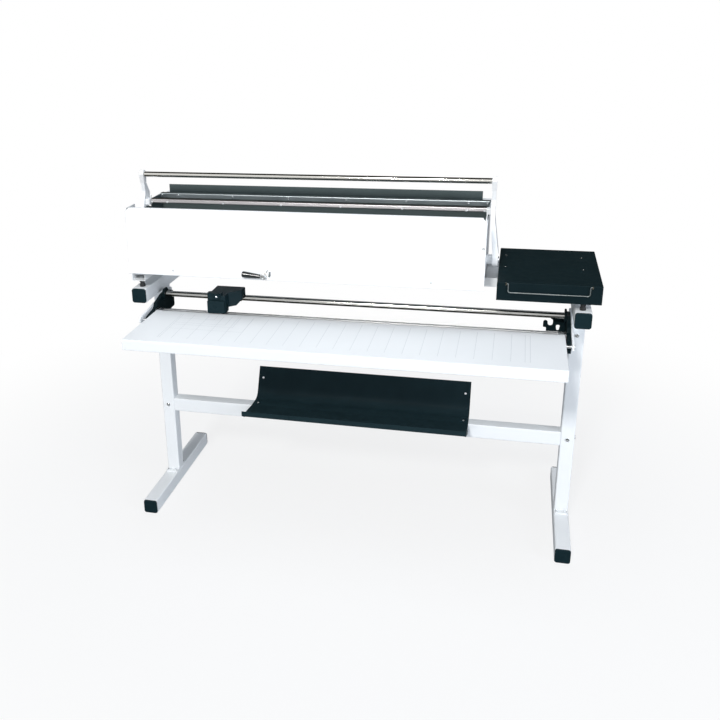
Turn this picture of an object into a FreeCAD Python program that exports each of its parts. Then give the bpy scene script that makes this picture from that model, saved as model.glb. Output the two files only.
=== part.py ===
import FreeCAD
import Part
import math
import os

# Paper folding and trimming stand. Millimetres, X to the right, Y to the back, Z up.
# Places are first given from the uprights' centre line and the floor.

# Shared small sizes
tiny = 0.001
closeness = 0.0001
overrun = 5.0
running_gap = 0.05
seat_gap = 0.3

# Stand of square steel tube
tube_side = 50.0
tube_wall = 2.5
tube_corner = 4.0
foot_front_reach = 264.0
foot_back_reach = 293.0
upright_width = 46.0
upright_depth = 48.0
upright_length = 739.0
base_plate_thickness = 4.0
base_plate_depth = 92.0
crossbeam_top = 355.0
crossbeam_height = 51.0
crossbeam_depth = 46.0
support_front_reach = 201.0
support_back_reach = 205.0

# Plastic caps in the open tube ends
cap_thickness = 6.0
cap_corner = 8.0
cap_edge = 2.0
cap_plug_depth = 18.0
cap_plug_gap = 0.2
cap_plug_wall = 3.0

# Hexagon socket bolts of the stand
bolt_head_radius = 6.5
bolt_head_height = 4.0
bolt_shank_radius = 4.0
bolt_length = 12.0
bolt_socket_radius = 3.0
bolt_socket_depth = 2.0
base_bolt_spacing = 25.0
base_bolt_reach = 35.0
upper_bolt_drop = 86.0

# Small cross head screws of the covers and profiles
screw_head_radius = 4.0
screw_head_height = 2.0
screw_shank_radius = 1.8
screw_length = 7.0
screw_slot_width = 1.0
screw_slot_depth = 1.0

# Trimmer table
table_end_inset = 46.0
table_depth = 287.0
table_back_setback = 169.0
table_drop = 34.0
table_lip_height = 36.0
table_sheet = 2.0
table_bend = 3.0
table_back_flange = 22.0
table_front_return = 18.0
laminate_thickness = 1.5
laminate_margin = 1.0

# Cutting bed, fixed blade and their clamps
bed_width = 23.0
bed_height = 14.0
bed_groove_width = 5.0
bed_groove_depth = 2.0
fixed_blade_thickness = 3.0
fixed_blade_height = 20.0
clamp_length = 24.5
clamp_height = 2.5
clamp_inset = 1.0

# Guide rail and its end brackets
rail_radius = 10.0
rail_setback = 75.0
rail_rise = 31.0
end_block_length = 6.0
end_block_depth = 38.0
end_block_height = 38.0
end_block_corner = 8.0
bracket_thickness = 12.5
bracket_round = 8.0
bracket_bottom_drop = 41.0
bracket_back_rise = 3.0
bracket_back_reach = 10.0
bracket_peak_drop = 1.0
bracket_nose_reach = 158.0
bracket_arm_rise = 2.0
bracket_arm_reach = 222.0
bracket_tip_drop = 8.0
bracket_screw_sink = 8.0
bracket_screw_rises = (-22.0, 1.0)
cheek_sheet = 6.0
cheek_back_drop = 8.0
cheek_reach = 265.0
cheek_front_rise = 3.0
cheek_front_drop = 14.0
cheek_belly_reach = 190.0
table_stud_radius = 5.0
table_stud_reach = 246.0
table_stud_drop = 8.0
stud_head_radius = 7.0
stud_head_height = 3.0

# Hook plate under the right end of the rail
hook_thickness = 4.0
hook_setback = 40.0
hook_length = 67.5
hook_top_rise = 10.0
hook_horn_drop = 1.0
hook_horn_width = 14.0
hook_notch_width = 16.0
hook_notch_drop = 18.0
hook_beak = 12.0
hook_beak_drop = 8.0
hook_chin = 10.0
hook_chin_drop = 24.0
hook_bottom_drop = 37.0
hook_round = 3.0
hook_hole_width = 14.0
hook_hole_foot = 7.0
hook_hole_from_tip = 46.0
hook_hole_top_drop = 14.0
hook_hole_bottom_drop = 33.0

# Cutter carriage on the rail
head_parking = 189.0
head_barrel_length = 103.0
head_nose_length = 64.0
head_front_setback = 168.0
head_back_setback = 58.0
head_top_rise = 65.0
head_barrel_bottom_rise = 15.5
head_nose_gap = 3.5
head_nose_depth = 33.0
head_flank_depth = 35.0
head_round = 5.0
head_boss_width = 50.0
head_boss_depth = 24.0
head_boss_rise = 7.0
head_undercut_run = 22.0
head_undercut_rise = 24.0
bush_wall = 3.0
bush_length = 18.0
guard_width = 61.0
guard_height = 43.0
guard_thickness = 6.0
guard_inset = 1.0
guard_round = 3.0
blade_radius = 22.5
blade_thickness = 2.0
blade_overlap = 4.0
blade_side_gap = 0.3
blade_room = 3.0
blade_hub_radius = 7.0
blade_hub_thickness = 3.0
axle_radius = 4.0
axle_length = 30.0
knob_radius = 9.5
knob_height = 8.0
knob_grips = 12
knob_stem_radius = 3.0
knob_inset_x = 36.0
knob_drop = 2.0

# Catch tray on the crossbeam
tray_length = 782.0
tray_sheet = 2.0
tray_lip_reach = 150.0
tray_lip_top_rise = 34.0
tray_lip_bottom_rise = 14.0
tray_back_foot_reach = 48.0
tray_back_reach = 100.0
tray_back_rise = 106.0
tray_front_bend = 4.0
tray_floor_bend = 60.0
tray_back_bend = 42.0
tray_screw_inset = 18.0
tray_floor_screw_reach = 2.0
tray_back_screw_reach = 81.0
strap_width = 20.0
strap_sheet = 3.0
strap_leg = 22.0
strap_knee_reach = 52.0
strap_knee_drop = 5.0
strap_seat_reach = 68.0
strap_back_reach = 89.0
gusset_thickness = 4.0
gusset_reach = 130.0
gusset_nose_height = 8.0
gusset_root_height = 40.0

# Folder base: rubber feet, two cross rails and a long pan
rubber_foot_radius = 9.5
rubber_foot_waist = 7.5
rubber_foot_height = 25.0
rubber_foot_flange = 8.0
rubber_foot_inset = 2.0
rubber_foot_reach = 165.0
rail_box_offset = 1.25
rail_box_width = 47.5
rail_box_height = 23.5
rail_box_wall = 1.5
rail_box_corner = 2.5
rail_box_front_reach = 186.0
rail_box_back_reach = 200.0
pan_front_reach = 60.0
pan_back_reach = 165.0
pan_height = 30.0
pan_sheet = 2.0
pan_bend = 3.0

# Folder box: side plates, front cover and inner sheets
cover_length = 1177.0
stand_overlength = 267.0
cover_overhang = 30.0
cover_sheet = 2.0
cover_front_reach = 185.0
cover_foot_reach = 199.0
cover_top_rise = 252.0
cover_bend_rise = 87.0
cover_bottom_rise = 28.0
cover_lip = 12.0
cover_return = 18.0
cover_corner_cut = 13.0
cover_round = 3.0
side_plate = 3.0
side_top_drop = 2.0
side_bottom_rise = 4.0
side_rear_rise = 238.0
floor_top_rise = 84.0
floor_sheet = 2.0
floor_flange = 16.0
floor_bend = 3.0
slot_width = 15.0
slot_plate_sheet = 2.0
slot_plate_bottom_rise = 57.0
slot_plate_back_reach = 131.0
rear_profile_depth = 17.0
rear_profile_height = 17.0
rear_profile_top_rise = 241.0
rear_profile_round = 3.0
rear_profile_bore = 5.0
board_thickness = 3.0
board_bottom_rise = 37.0
board_top_rise = 267.0
board_inset = 29.0
ledge_sheet = 2.0
ledge_height = 37.0
rear_cover_sheet = 1.5
rear_cover_reach = 205.0
rear_cover_top_rise = 232.0
rear_cover_bottom_rise = 12.0
rear_cover_bend = 3.0
side_screw_reach = 176.0
edge_screw_inset = 7.0
edge_screw_rise = 159.0
low_screw_rise = 46.0
low_screw_inset = 160.5
profile_screw_count = 6
profile_screw_inset = 68.5
profile_end_screw_inset = 6.0

# Swinging handle
pivot_reach = 25.0
pivot_rise = 82.0
boss_radius = 16.0
boss_length = 16.0
washer_thickness = 2.0
pin_radius = 6.0
pin_head_radius = 10.0
pin_head_height = 3.0
hub_radius = 23.0
hub_thickness = 18.0
arm_thickness = 12.0
arm_offset = 7.0
arm_lean_low_rise = 107.0
arm_lean_high_rise = 218.0
arm_waist_rise = 218.0
arm_waist_front = -19.0
arm_waist_back = 30.0
arm_elbow_front_rise = 266.0
arm_elbow_back_rise = 257.0
arm_elbow_front = 6.0
arm_elbow_back = 46.0
arm_joint_rise = 299.0
arm_neck_front = 1.0
arm_neck_back = 18.0
arm_round = 14.0
bar_radius = 9.0
bar_wall = 1.5
bar_back_reach = 6.0
bar_rise = 329.0
bar_hold = 11.0
knuckle_width = 15.0
knuckle_radius = 14.0
front_profile_end_gap = 5.0
front_profile_front = 8.0
front_profile_lean = 2.5
front_profile_depth = 19.0
front_profile_top_rise = 241.0
front_profile_height = 14.0
front_profile_round = 3.0
front_profile_groove = 2.5
front_profile_groove_depth = 2.0
front_profile_bore = 3.0
end_link_front = 0.0
end_link_depth = 28.0
end_link_height = 20.0
swing_room = 3.0
swing_notch_front_reach = 112.0

# Fold width stop, its cam and the setting lever
lever_offset = 110.5
lever_rise = 43.0
lever_shaft_radius = 5.0
lever_hub_radius = 10.0
lever_hub_length = 12.0
hub_ring_radius = 7.0
hub_ring_width = 1.5
hub_ring_depth = 1.0
hub_dimple_radius = 2.0
lever_bush_radius = 8.0
lever_bush_reach = 203.0
lever_bush_length = 26.0
lever_plate_left = 10.0
lever_plate_right = 27.0
lever_plate_below = 13.0
lever_plate_above = 18.0
lever_plate_sheet = 2.0
lever_slot_offset = 21.0
lever_slot_width = 3.0
lever_slot_height = 20.0
lever_tilt = 5.0
grip_root = 12.0
grip_length = 61.0
grip_root_radius = 6.5
grip_tip_radius = 11.0
grip_nose_round = 4.0
grip_stem_radius = 3.5
cam_base_radius = 10.0
cam_thickness = 10.0
cam_back_reach = 122.0
cam_points = 9
cam_clearance = 0.8
bearing_width = 40.0
bearing_sheet = 3.0
bearing_foot = 14.0
bearing_gap = 6.0
bearing_above = 12.0
stop_travel = 20.0
stop_ledge_rise = 31.0
stop_sheet = 2.0
stop_room = 1.0
stop_tab_depth = 16.0
stop_end_gap = 5.0
follower_width = 2.0
follower_height = 3.0
guide_post_radius = 4.0
guide_post_inset = 68.5
guide_post_slack = 0.1

# Paper shelf at the right
shelf_gap = 38.0
shelf_overhang = 47.75
shelf_front_reach = 190.0
shelf_back_reach = 210.0
shelf_top_rise = 58.0
shelf_sheet = 2.0
shelf_corner = 3.0
shelf_notch_gap = 1.0
shelf_screw_inset = 21.0
shelf_screw_reaches = (-18.0, 120.0)
spacer_radius = 8.0
bail_left_inset = 34.0
bail_right_inset = 36.0
bail_drop = 28.0
bail_pivot_drop = 3.0
bail_wire_radius = 1.75
bail_bend = 6.0
bail_stub = 7.0
bail_front_gap = 3.3
clip_width = 4.0
clip_height = 8.0

# Heights and places that follow from the sizes above
foot_x = (cover_length + stand_overlength) / 2
upright_bottom_z = tube_side + base_plate_thickness
upright_top_z = upright_bottom_z + upright_length
upper_bolt_z = upright_top_z - upper_bolt_drop
table_top_z = upright_top_z - table_drop
bracket_peak_z = upright_top_z - bracket_peak_drop
support_top_z = upright_top_z + tube_side
rail_z = table_top_z + rail_rise
bracket_bottom_z = table_top_z - bracket_bottom_drop
bracket_back_z = table_top_z + bracket_back_rise
hook_top_z = table_top_z + hook_top_rise
hook_horn_z = table_top_z - hook_horn_drop
hook_bottom_z = table_top_z - hook_bottom_drop
head_top_z = table_top_z + head_top_rise
head_barrel_bottom_z = table_top_z + head_barrel_bottom_rise
upright_inner_x = foot_x - upright_width / 2
crossbeam_front_y = -upright_depth / 2
crossbeam_back_y = crossbeam_front_y + crossbeam_depth
table_end_x = foot_x - table_end_inset
table_back_y = -table_back_setback
table_front_y = table_back_y - table_depth
table_frame_top_z = table_top_z - laminate_thickness
table_bottom_z = table_top_z - table_lip_height
cheek_inner_x = upright_inner_x - cheek_sheet
bracket_inner_x = cheek_inner_x - bracket_thickness
blade_front_y = table_back_y + bed_width
blade_back_y = blade_front_y + fixed_blade_thickness
rail_y = -rail_setback
head_left_x = head_parking - table_end_x
head_right_x = head_left_x + head_barrel_length
head_nose_right_x = head_left_x + head_nose_length
head_front_y = -head_front_setback
head_back_y = -head_back_setback
blade_z = table_top_z - blade_overlap + blade_radius
guard_left_x = head_left_x + guard_inset
blade_x = guard_left_x + guard_width / 2
tray_end_x = tray_length / 2
tray_lip_top_z = crossbeam_top + tray_lip_top_rise
tray_lip_bottom_z = crossbeam_top + tray_lip_bottom_rise
tray_back_z = crossbeam_top + tray_back_rise
tray_back_lean = math.degrees(math.atan2(tray_back_z - crossbeam_top,
                                         tray_back_reach - tray_back_foot_reach))
base_z = support_top_z + rubber_foot_height
cover_top_z = base_z + cover_top_rise
cover_bend_z = base_z + cover_bend_rise
cover_bottom_z = base_z + cover_bottom_rise
side_rear_z = base_z + side_rear_rise
floor_top_z = base_z + floor_top_rise
slot_plate_bottom_z = base_z + slot_plate_bottom_rise
rear_profile_top_z = base_z + rear_profile_top_rise
board_bottom_z = base_z + board_bottom_rise
board_top_z = base_z + board_top_rise
rear_cover_top_z = base_z + rear_cover_top_rise
rear_cover_bottom_z = base_z + rear_cover_bottom_rise
edge_screw_z = base_z + edge_screw_rise
low_screw_z = base_z + low_screw_rise
pivot_z = base_z + pivot_rise
arm_lean_low_z = base_z + arm_lean_low_rise
arm_lean_high_z = base_z + arm_lean_high_rise
arm_waist_z = base_z + arm_waist_rise
arm_elbow_front_z = base_z + arm_elbow_front_rise
arm_elbow_back_z = base_z + arm_elbow_back_rise
arm_joint_z = base_z + arm_joint_rise
bar_z = base_z + bar_rise
front_profile_top_z = base_z + front_profile_top_rise
lever_z = base_z + lever_rise
stop_ledge_z = base_z + stop_ledge_rise
shelf_top_z = base_z + shelf_top_rise
rail_box_x = foot_x + rail_box_offset
rail_box_inner_x = rail_box_x - rail_box_width / 2
rail_box_top_z = base_z + rail_box_height
pan_top_z = base_z + pan_height
pan_floor_z = base_z + pan_sheet
cover_left_x = -foot_x - cover_overhang
cover_right_x = cover_left_x + cover_length
cover_front_y = -cover_front_reach
cover_foot_y = -cover_foot_reach
cover_lean = math.degrees(math.atan2(cover_foot_reach - cover_front_reach,
                                     cover_bend_z - cover_bottom_z))
folder_middle_x = (cover_left_x + cover_right_x) / 2
lever_x = folder_middle_x - lever_offset
board_length = cover_length - board_inset - board_inset
side_outer_span = cover_length / 2 - cover_sheet
side_inner_span = side_outer_span - side_plate
side_front_y = cover_front_y + cover_sheet
inner_left_x = folder_middle_x - side_inner_span
inner_right_x = folder_middle_x + side_inner_span
slot_plate_y = slot_plate_back_reach - slot_plate_sheet
rear_profile_front_y = slot_plate_back_reach - rear_profile_depth
rear_profile_bottom_z = rear_profile_top_z - rear_profile_height
board_front_y = slot_plate_back_reach + slot_width
board_back_y = board_front_y + board_thickness
rear_inner_y = rear_cover_reach - rear_cover_sheet
pivot_y = -pivot_reach
hub_inner_span = side_outer_span + boss_length + washer_thickness + seat_gap
hub_outer_span = hub_inner_span + hub_thickness
arm_inner_span = side_outer_span + arm_offset
arm_outer_span = arm_inner_span + arm_thickness
front_profile_span = side_inner_span - front_profile_end_gap
front_profile_bottom_z = front_profile_top_z - front_profile_height
front_profile_back_y = front_profile_front + front_profile_depth
end_link_low_z = front_profile_top_z - end_link_height
end_link_back_y = end_link_front + end_link_depth
sweep_radius = math.hypot(end_link_front - pivot_y, end_link_low_z - pivot_z) - swing_room
cam_front_y = cam_back_reach - cam_thickness
stop_web_y = slot_plate_y - stop_room - floor_sheet - stop_sheet
stop_tab_z = lever_z + cam_base_radius + cam_clearance + follower_height
shelf_left_x = cover_right_x + shelf_gap
shelf_right_x = rail_box_x + shelf_overhang
shelf_front_y = -shelf_front_reach
bail_y = shelf_front_y - bail_front_gap
bail_left_x = shelf_left_x + bail_left_inset
bail_right_x = shelf_right_x - bail_right_inset
bail_pivot_z = shelf_top_z - bail_pivot_drop

# The origin is the middle of the overall width and depth, on the floor
leftmost_x = folder_middle_x - hub_outer_span - seat_gap - pin_head_height
middle_x = (leftmost_x + shelf_right_x) / 2
middle_y = (table_front_y + foot_back_reach) / 2


# A point given by its two section coordinates and its place along an axis
def lift(axis, a, b, along):
    if axis == "x":
        return FreeCAD.Vector(along, a, b)
    if axis == "y":
        return FreeCAD.Vector(a, along, b)
    return FreeCAD.Vector(a, b, along)


# Start, middle and end of the arc that rounds one corner
def rounding(before, here, after):
    radius = here[2]
    to_before = FreeCAD.Vector(before[0] - here[0], before[1] - here[1], 0)
    to_after = FreeCAD.Vector(after[0] - here[0], after[1] - here[1], 0)
    to_before.normalize()
    to_after.normalize()
    half = to_before.getAngle(to_after) / 2
    corner = FreeCAD.Vector(here[0], here[1], 0)
    inward = to_before + to_after
    inward.normalize()
    reach = radius / math.tan(half)
    centre = corner + inward * (radius / math.sin(half))
    return corner + to_before * reach, centre - inward * radius, corner + to_after * reach


# Closed wire through corners (a, b, radius), with round corners as arcs
def outline(axis, corners, along):
    stations = []
    for index, here in enumerate(corners):
        after = corners[(index + 1) % len(corners)]
        if here[2] > 0:
            stations.append(rounding(corners[index - 1], here, after))
        else:
            point = FreeCAD.Vector(here[0], here[1], 0)
            stations.append((point, point, point))
    edges = []
    for index, (start, middle, end) in enumerate(stations):
        before_end = stations[index - 1][2]
        if (start - before_end).Length > closeness:
            edges.append(Part.makeLine(lift(axis, before_end.x, before_end.y, along),
                                       lift(axis, start.x, start.y, along)))
        if (end - start).Length > closeness:
            edges.append(Part.Arc(lift(axis, start.x, start.y, along),
                                  lift(axis, middle.x, middle.y, along),
                                  lift(axis, end.x, end.y, along)).toShape())
    return Part.Wire(edges)


# A flat plate or prism between two places along an axis
def prism(axis, corners, start, end):
    face = Part.Face(outline(axis, corners, start))
    return face.extrude(lift(axis, 0, 0, end - start))


# Four corners of a rectangle with one corner radius
def rectangle(a_low, a_high, b_low, b_high, radius=0):
    return [(a_low, b_low, radius), (a_high, b_low, radius),
            (a_high, b_high, radius), (a_low, b_high, radius)]


def block(x_low, x_high, y_low, y_high, z_low, z_high):
    return Part.makeBox(x_high - x_low, y_high - y_low, z_high - z_low,
                        FreeCAD.Vector(x_low, y_low, z_low))


def rod(axis, start, end, a, b, radius):
    return Part.makeCylinder(radius, end - start, lift(axis, a, b, start), lift(axis, 0, 0, 1))


# Rectangular tube with rounded edges, given by the centre and sizes of its section
def box_tube(axis, start, end, a, b, a_size, b_size, wall, corner):
    outer = rectangle(a - a_size / 2, a + a_size / 2, b - b_size / 2, b + b_size / 2, corner)
    inner = rectangle(a - a_size / 2 + wall, a + a_size / 2 - wall,
                      b - b_size / 2 + wall, b + b_size / 2 - wall, corner - wall)
    return prism(axis, outer, start, end).cut(prism(axis, inner, start - overrun, end + overrun))


# The path of a folded sheet moved sideways by its thickness, to the left when positive
def offset_path(path, thickness):
    moved = []
    for index, (a, b, radius) in enumerate(path):
        normals = []
        for first, second in ((index - 1, index), (index, index + 1)):
            if first >= 0 and second < len(path):
                run = FreeCAD.Vector(path[second][0] - path[first][0],
                                     path[second][1] - path[first][1], 0)
                run.normalize()
                normals.append(FreeCAD.Vector(-run.y, run.x, 0))
        if len(normals) == 1:
            shift = normals[0] * thickness
            turn = 0
        else:
            total = normals[0] + normals[1]
            shift = total * (thickness / (1 + normals[0].dot(normals[1])))
            turn = normals[0].cross(normals[1]).z * thickness
        inner = max(radius - abs(thickness), 0)
        outer = radius + abs(thickness)
        moved.append((a + shift.x, b + shift.y, 0 if radius == 0 else inner if turn > 0 else outer))
    return moved


# Sheet metal folded along a path and running between two places
def folded(axis, path, thickness, start, end):
    return prism(axis, path + offset_path(path, thickness)[::-1], start, end)


def fused(shapes):
    whole = shapes[0]
    for shape in shapes[1:]:
        whole = whole.fuse(shape)
    return whole.removeSplitter()


# A group of separate solids in one node
def group(shapes):
    return Part.makeCompound([solid for shape in shapes for solid in shape.Solids])


# The same shape at both ends, mirrored about a plane across X
def both_sides(shape, plane_x):
    return group([shape, shape.mirror(FreeCAD.Vector(plane_x, 0, 0), FreeCAD.Vector(1, 0, 0))])


# A fastener whose head stands on a face; outward is +1 or -1 along the axis
def fastener(axis, outward, a, b, face, head_radius, head_height, shank_radius, length):
    low = min(face, face + outward * head_height)
    head = rod(axis, low, low + head_height, a, b, head_radius)
    rim = [edge for edge in head.Edges if abs(edge.Length - 2 * math.pi * head_radius) < tiny]
    top = [edge for edge in rim
           if abs(edge.BoundBox.Center.dot(lift(axis, 0, 0, 1)) - face) > head_height / 2]
    head = head.makeFillet(head_height / 3, top)
    low = min(face, face - outward * length)
    return head.fuse(rod(axis, low, low + length, a, b, shank_radius))


# Socket head bolt of the stand
def bolt(axis, outward, a, b, face):
    whole = fastener(axis, outward, a, b, face, bolt_head_radius, bolt_head_height,
                     bolt_shank_radius, bolt_length)
    socket = []
    for side in range(6):
        angle = side * math.pi / 3
        socket.append((a + bolt_socket_radius * math.cos(angle),
                       b + bolt_socket_radius * math.sin(angle), 0))
    top = face + outward * bolt_head_height
    bottom = top - outward * bolt_socket_depth
    return whole.cut(prism(axis, socket, min(top, bottom), max(top, bottom)))


def bolt_hole(axis, outward, a, b, face):
    low = min(face + outward * overrun, face - outward * bolt_length)
    return rod(axis, low, low + bolt_length + overrun, a, b, bolt_shank_radius + running_gap)


# Turned about the X direction at the place where a fastener's axis meets its face
def leaned(shape, axis, a, b, face, lean):
    shape.rotate(lift(axis, a, b, face), FreeCAD.Vector(1, 0, 0), lean)
    return shape


# Small cross head screw
def screw(axis, outward, a, b, face, lean=0):
    whole = fastener(axis, outward, a, b, face, screw_head_radius, screw_head_height,
                     screw_shank_radius, screw_length)
    top = face + outward * screw_head_height
    bottom = top - outward * screw_slot_depth
    reach = screw_head_radius / 2
    for a_half, b_half in ((reach, screw_slot_width / 2), (screw_slot_width / 2, reach)):
        slot = rectangle(a - a_half, a + a_half, b - b_half, b + b_half)
        whole = whole.cut(prism(axis, slot, min(top, bottom), max(top, bottom)))
    return leaned(whole, axis, a, b, face, lean)


def screw_hole(axis, outward, a, b, face, lean=0):
    low = min(face + outward * overrun, face - outward * (screw_length + overrun))
    length = screw_length + overrun + overrun
    hole = rod(axis, low, low + length, a, b, screw_shank_radius + running_gap)
    return leaned(hole, axis, a, b, face, lean)


# Cone of a countersunk head under a flat top
def countersink(x, y, top_z, gap):
    return Part.makeCone(screw_shank_radius + gap, screw_head_radius + gap, screw_head_height,
                         FreeCAD.Vector(x, y, top_z - screw_head_height))


# Small countersunk cross head screw, flush with a flat top
def sunk_screw(x, y, top_z):
    shank = rod("z", top_z - screw_length, top_z - screw_head_height, x, y, screw_shank_radius)
    whole = fused([countersink(x, y, top_z, 0), shank])
    reach = screw_head_radius / 2
    for x_half, y_half in ((reach, screw_slot_width / 2), (screw_slot_width / 2, reach)):
        whole = whole.cut(block(x - x_half, x + x_half, y - y_half, y + y_half,
                                top_z - screw_slot_depth, top_z))
    return whole


# Where the bolts of the stand sit: axis, outward, a, b, face
def frame_bolt_places():
    places = []
    for side in (-1, 1):
        for x_step in (-1, 1):
            for y_step in (-1, 1):
                places.append(("z", 1, side * foot_x + x_step * base_bolt_spacing / 2,
                               y_step * base_bolt_reach, upright_bottom_z))
        for z in (crossbeam_top - crossbeam_height / 2, upper_bolt_z):
            places.append(("y", -1, side * foot_x, z, -upright_depth / 2))
        places.append(("x", side, 0, crossbeam_top - crossbeam_height / 2,
                       side * (foot_x + upright_width / 2)))
    return places


def with_bolt_holes(shape):
    for place in frame_bolt_places():
        shape = shape.cut(bolt_hole(*place))
    return shape


def foot_tube(side):
    tube = box_tube("y", cap_thickness - foot_front_reach, foot_back_reach - cap_thickness,
                    side * foot_x, tube_side / 2, tube_side, tube_side, tube_wall, tube_corner)
    return with_bolt_holes(tube)


def support_arm(side):
    return box_tube("y", cap_thickness - support_front_reach, support_back_reach - cap_thickness,
                    side * foot_x, upright_top_z + tube_side / 2, tube_side, tube_side,
                    tube_wall, tube_corner)


# Plate welded on the upright's inner side, which carries the end bracket
def cheek_corners():
    back_z = upright_top_z - cheek_back_drop
    return [(upright_depth / 2, bracket_bottom_z, 0), (upright_depth / 2, back_z, bracket_round),
            (-upright_depth / 2, back_z, bracket_round),
            (-cheek_reach, table_top_z + cheek_front_rise, bracket_round / 2),
            (-cheek_reach, table_top_z - cheek_front_drop, bracket_round / 2),
            (-cheek_belly_reach, bracket_bottom_z, bracket_round)]


def upright(side):
    tube = box_tube("z", upright_bottom_z, upright_top_z, side * foot_x, 0,
                    upright_width, upright_depth, tube_wall, tube_corner)
    cheek = prism("x", cheek_corners(), cheek_inner_x, upright_inner_x)
    if side < 0:
        cheek = cheek.mirror(FreeCAD.Vector(0, 0, 0), FreeCAD.Vector(1, 0, 0))
    whole = fused([tube, cheek]).cut(table_stud_hole())
    return with_bolt_holes(drilled(whole, bracket_screw_places(side)))


def base_plates():
    plate = prism("z", rectangle(foot_x - upright_width / 2, foot_x + upright_width / 2,
                                 -base_plate_depth / 2, base_plate_depth / 2, tube_corner),
                  tube_side, upright_bottom_z)
    return with_bolt_holes(both_sides(plate, 0))


def crossbeam():
    beam = box_tube("x", -upright_inner_x, upright_inner_x,
                    crossbeam_front_y + crossbeam_depth / 2, crossbeam_top - crossbeam_height / 2,
                    crossbeam_depth, crossbeam_height, tube_wall, tube_corner)
    return drilled(beam, tray_screw_places())


# A piece with the holes of the screws that pass through it
def drilled(shape, places):
    for place in places:
        shape = shape.cut(screw_hole(*place))
    return shape


# Black plastic plug with a rounded face plate, outward is +1 or -1 along Y
def end_cap(x, z, face_y, outward):
    low = min(face_y, face_y - outward * cap_thickness)
    plate = prism("y", rectangle(x - tube_side / 2, x + tube_side / 2,
                                 z - tube_side / 2, z + tube_side / 2, cap_corner),
                  low, low + cap_thickness)
    outer = [edge for edge in plate.Edges
             if abs(edge.BoundBox.YMin - face_y) < tiny and abs(edge.BoundBox.YMax - face_y) < tiny]
    plate = plate.makeFillet(cap_edge, outer)
    half = tube_side / 2 - tube_wall - cap_plug_gap
    inside = face_y - outward * cap_thickness
    low = min(inside, inside - outward * cap_plug_depth)
    plug = prism("y", rectangle(x - half, x + half, z - half, z + half, tube_corner - tube_wall),
                 low, low + cap_plug_depth)
    hollow = half - cap_plug_wall
    room = prism("y", rectangle(x - hollow, x + hollow, z - hollow, z + hollow),
                 low - overrun if outward > 0 else low,
                 low + cap_plug_depth if outward > 0 else low + cap_plug_depth + overrun)
    return plate.fuse(plug.cut(room))


def caps(z, front_reach, back_reach):
    shapes = []
    for side in (-1, 1):
        shapes.append(end_cap(side * foot_x, z, -front_reach, -1))
        shapes.append(end_cap(side * foot_x, z, back_reach, 1))
    return group(shapes)


def frame_bolts():
    return group([bolt(*place) for place in frame_bolt_places()])


# Table tray: top, front lip with a return, rear flange and two end flanges
def table_frame():
    path = [(table_front_y + table_front_return, table_bottom_z, 0),
            (table_front_y, table_bottom_z, table_bend),
            (table_front_y, table_frame_top_z, table_bend),
            (table_back_y, table_frame_top_z, 0),
            (table_back_y, table_frame_top_z - table_back_flange, 0)]
    tray = folded("x", path, -table_sheet, -table_end_x, table_end_x)
    end = block(table_end_x - table_sheet, table_end_x, table_front_y + table_sheet,
                table_back_y - table_sheet, table_bottom_z + table_sheet,
                table_frame_top_z - table_sheet)
    mirrored = end.mirror(FreeCAD.Vector(0, 0, 0), FreeCAD.Vector(1, 0, 0))
    return fused([tray, end, mirrored])


def table_top():
    return block(-table_end_x + laminate_margin, table_end_x - laminate_margin,
                 table_front_y + table_bend + laminate_margin, table_back_y - laminate_margin,
                 table_frame_top_z, table_top_z)


def blade_bed():
    low_z = table_top_z - bed_height
    middle_y = table_back_y + bed_width / 2
    bed = block(-bracket_inner_x, bracket_inner_x, table_back_y, blade_front_y, low_z, table_top_z)
    for z_low, z_high in ((table_top_z - bed_groove_depth, table_top_z + overrun),
                          (low_z - overrun, low_z + bed_height / 2)):
        bed = bed.cut(block(-table_end_x, table_end_x, middle_y - bed_groove_width / 2,
                            middle_y + bed_groove_width / 2, z_low, z_high))
    return drilled(bed, clamp_screw_places())


def fixed_blade():
    return block(-bracket_inner_x, bracket_inner_x, blade_front_y, blade_back_y,
                 table_top_z - fixed_blade_height, table_top_z)


def clamp_places():
    centre = bracket_inner_x - clamp_inset - clamp_length / 2
    return (-centre, centre)


# Screws sunk flush into the blade clamps
def clamp_screw_places():
    return [("z", 1, x, table_back_y + bed_width / 2, table_top_z + clamp_height - screw_head_height)
            for x in clamp_places()]


# Small blocks that hold the blade down on its bed at both ends
def blade_clamps():
    shapes = []
    for x, place in zip(clamp_places(), clamp_screw_places()):
        piece = prism("z", rectangle(x - clamp_length / 2, x + clamp_length / 2,
                                     table_back_y, blade_front_y, tube_wall),
                      table_top_z, table_top_z + clamp_height)
        axis, outward, a, b, face = place
        pocket = rod(axis, face, face + overrun, a, b, screw_head_radius + running_gap)
        shapes.append(piece.cut(screw_hole(*place)).cut(pocket))
    return group(shapes)


def guide_rail():
    return rod("x", -bracket_inner_x, bracket_inner_x, rail_y, rail_z, rail_radius)


def rail_end_blocks():
    piece = prism("x", rectangle(rail_y - end_block_depth / 2, rail_y + end_block_depth / 2,
                                 rail_z - end_block_height / 2, rail_z + end_block_height / 2,
                                 end_block_corner),
                  bracket_inner_x - end_block_length, bracket_inner_x)
    piece = piece.cut(rod("x", -bracket_inner_x, bracket_inner_x + overrun,
                          rail_y, rail_z, rail_radius + running_gap))
    return both_sides(piece, 0)


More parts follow.
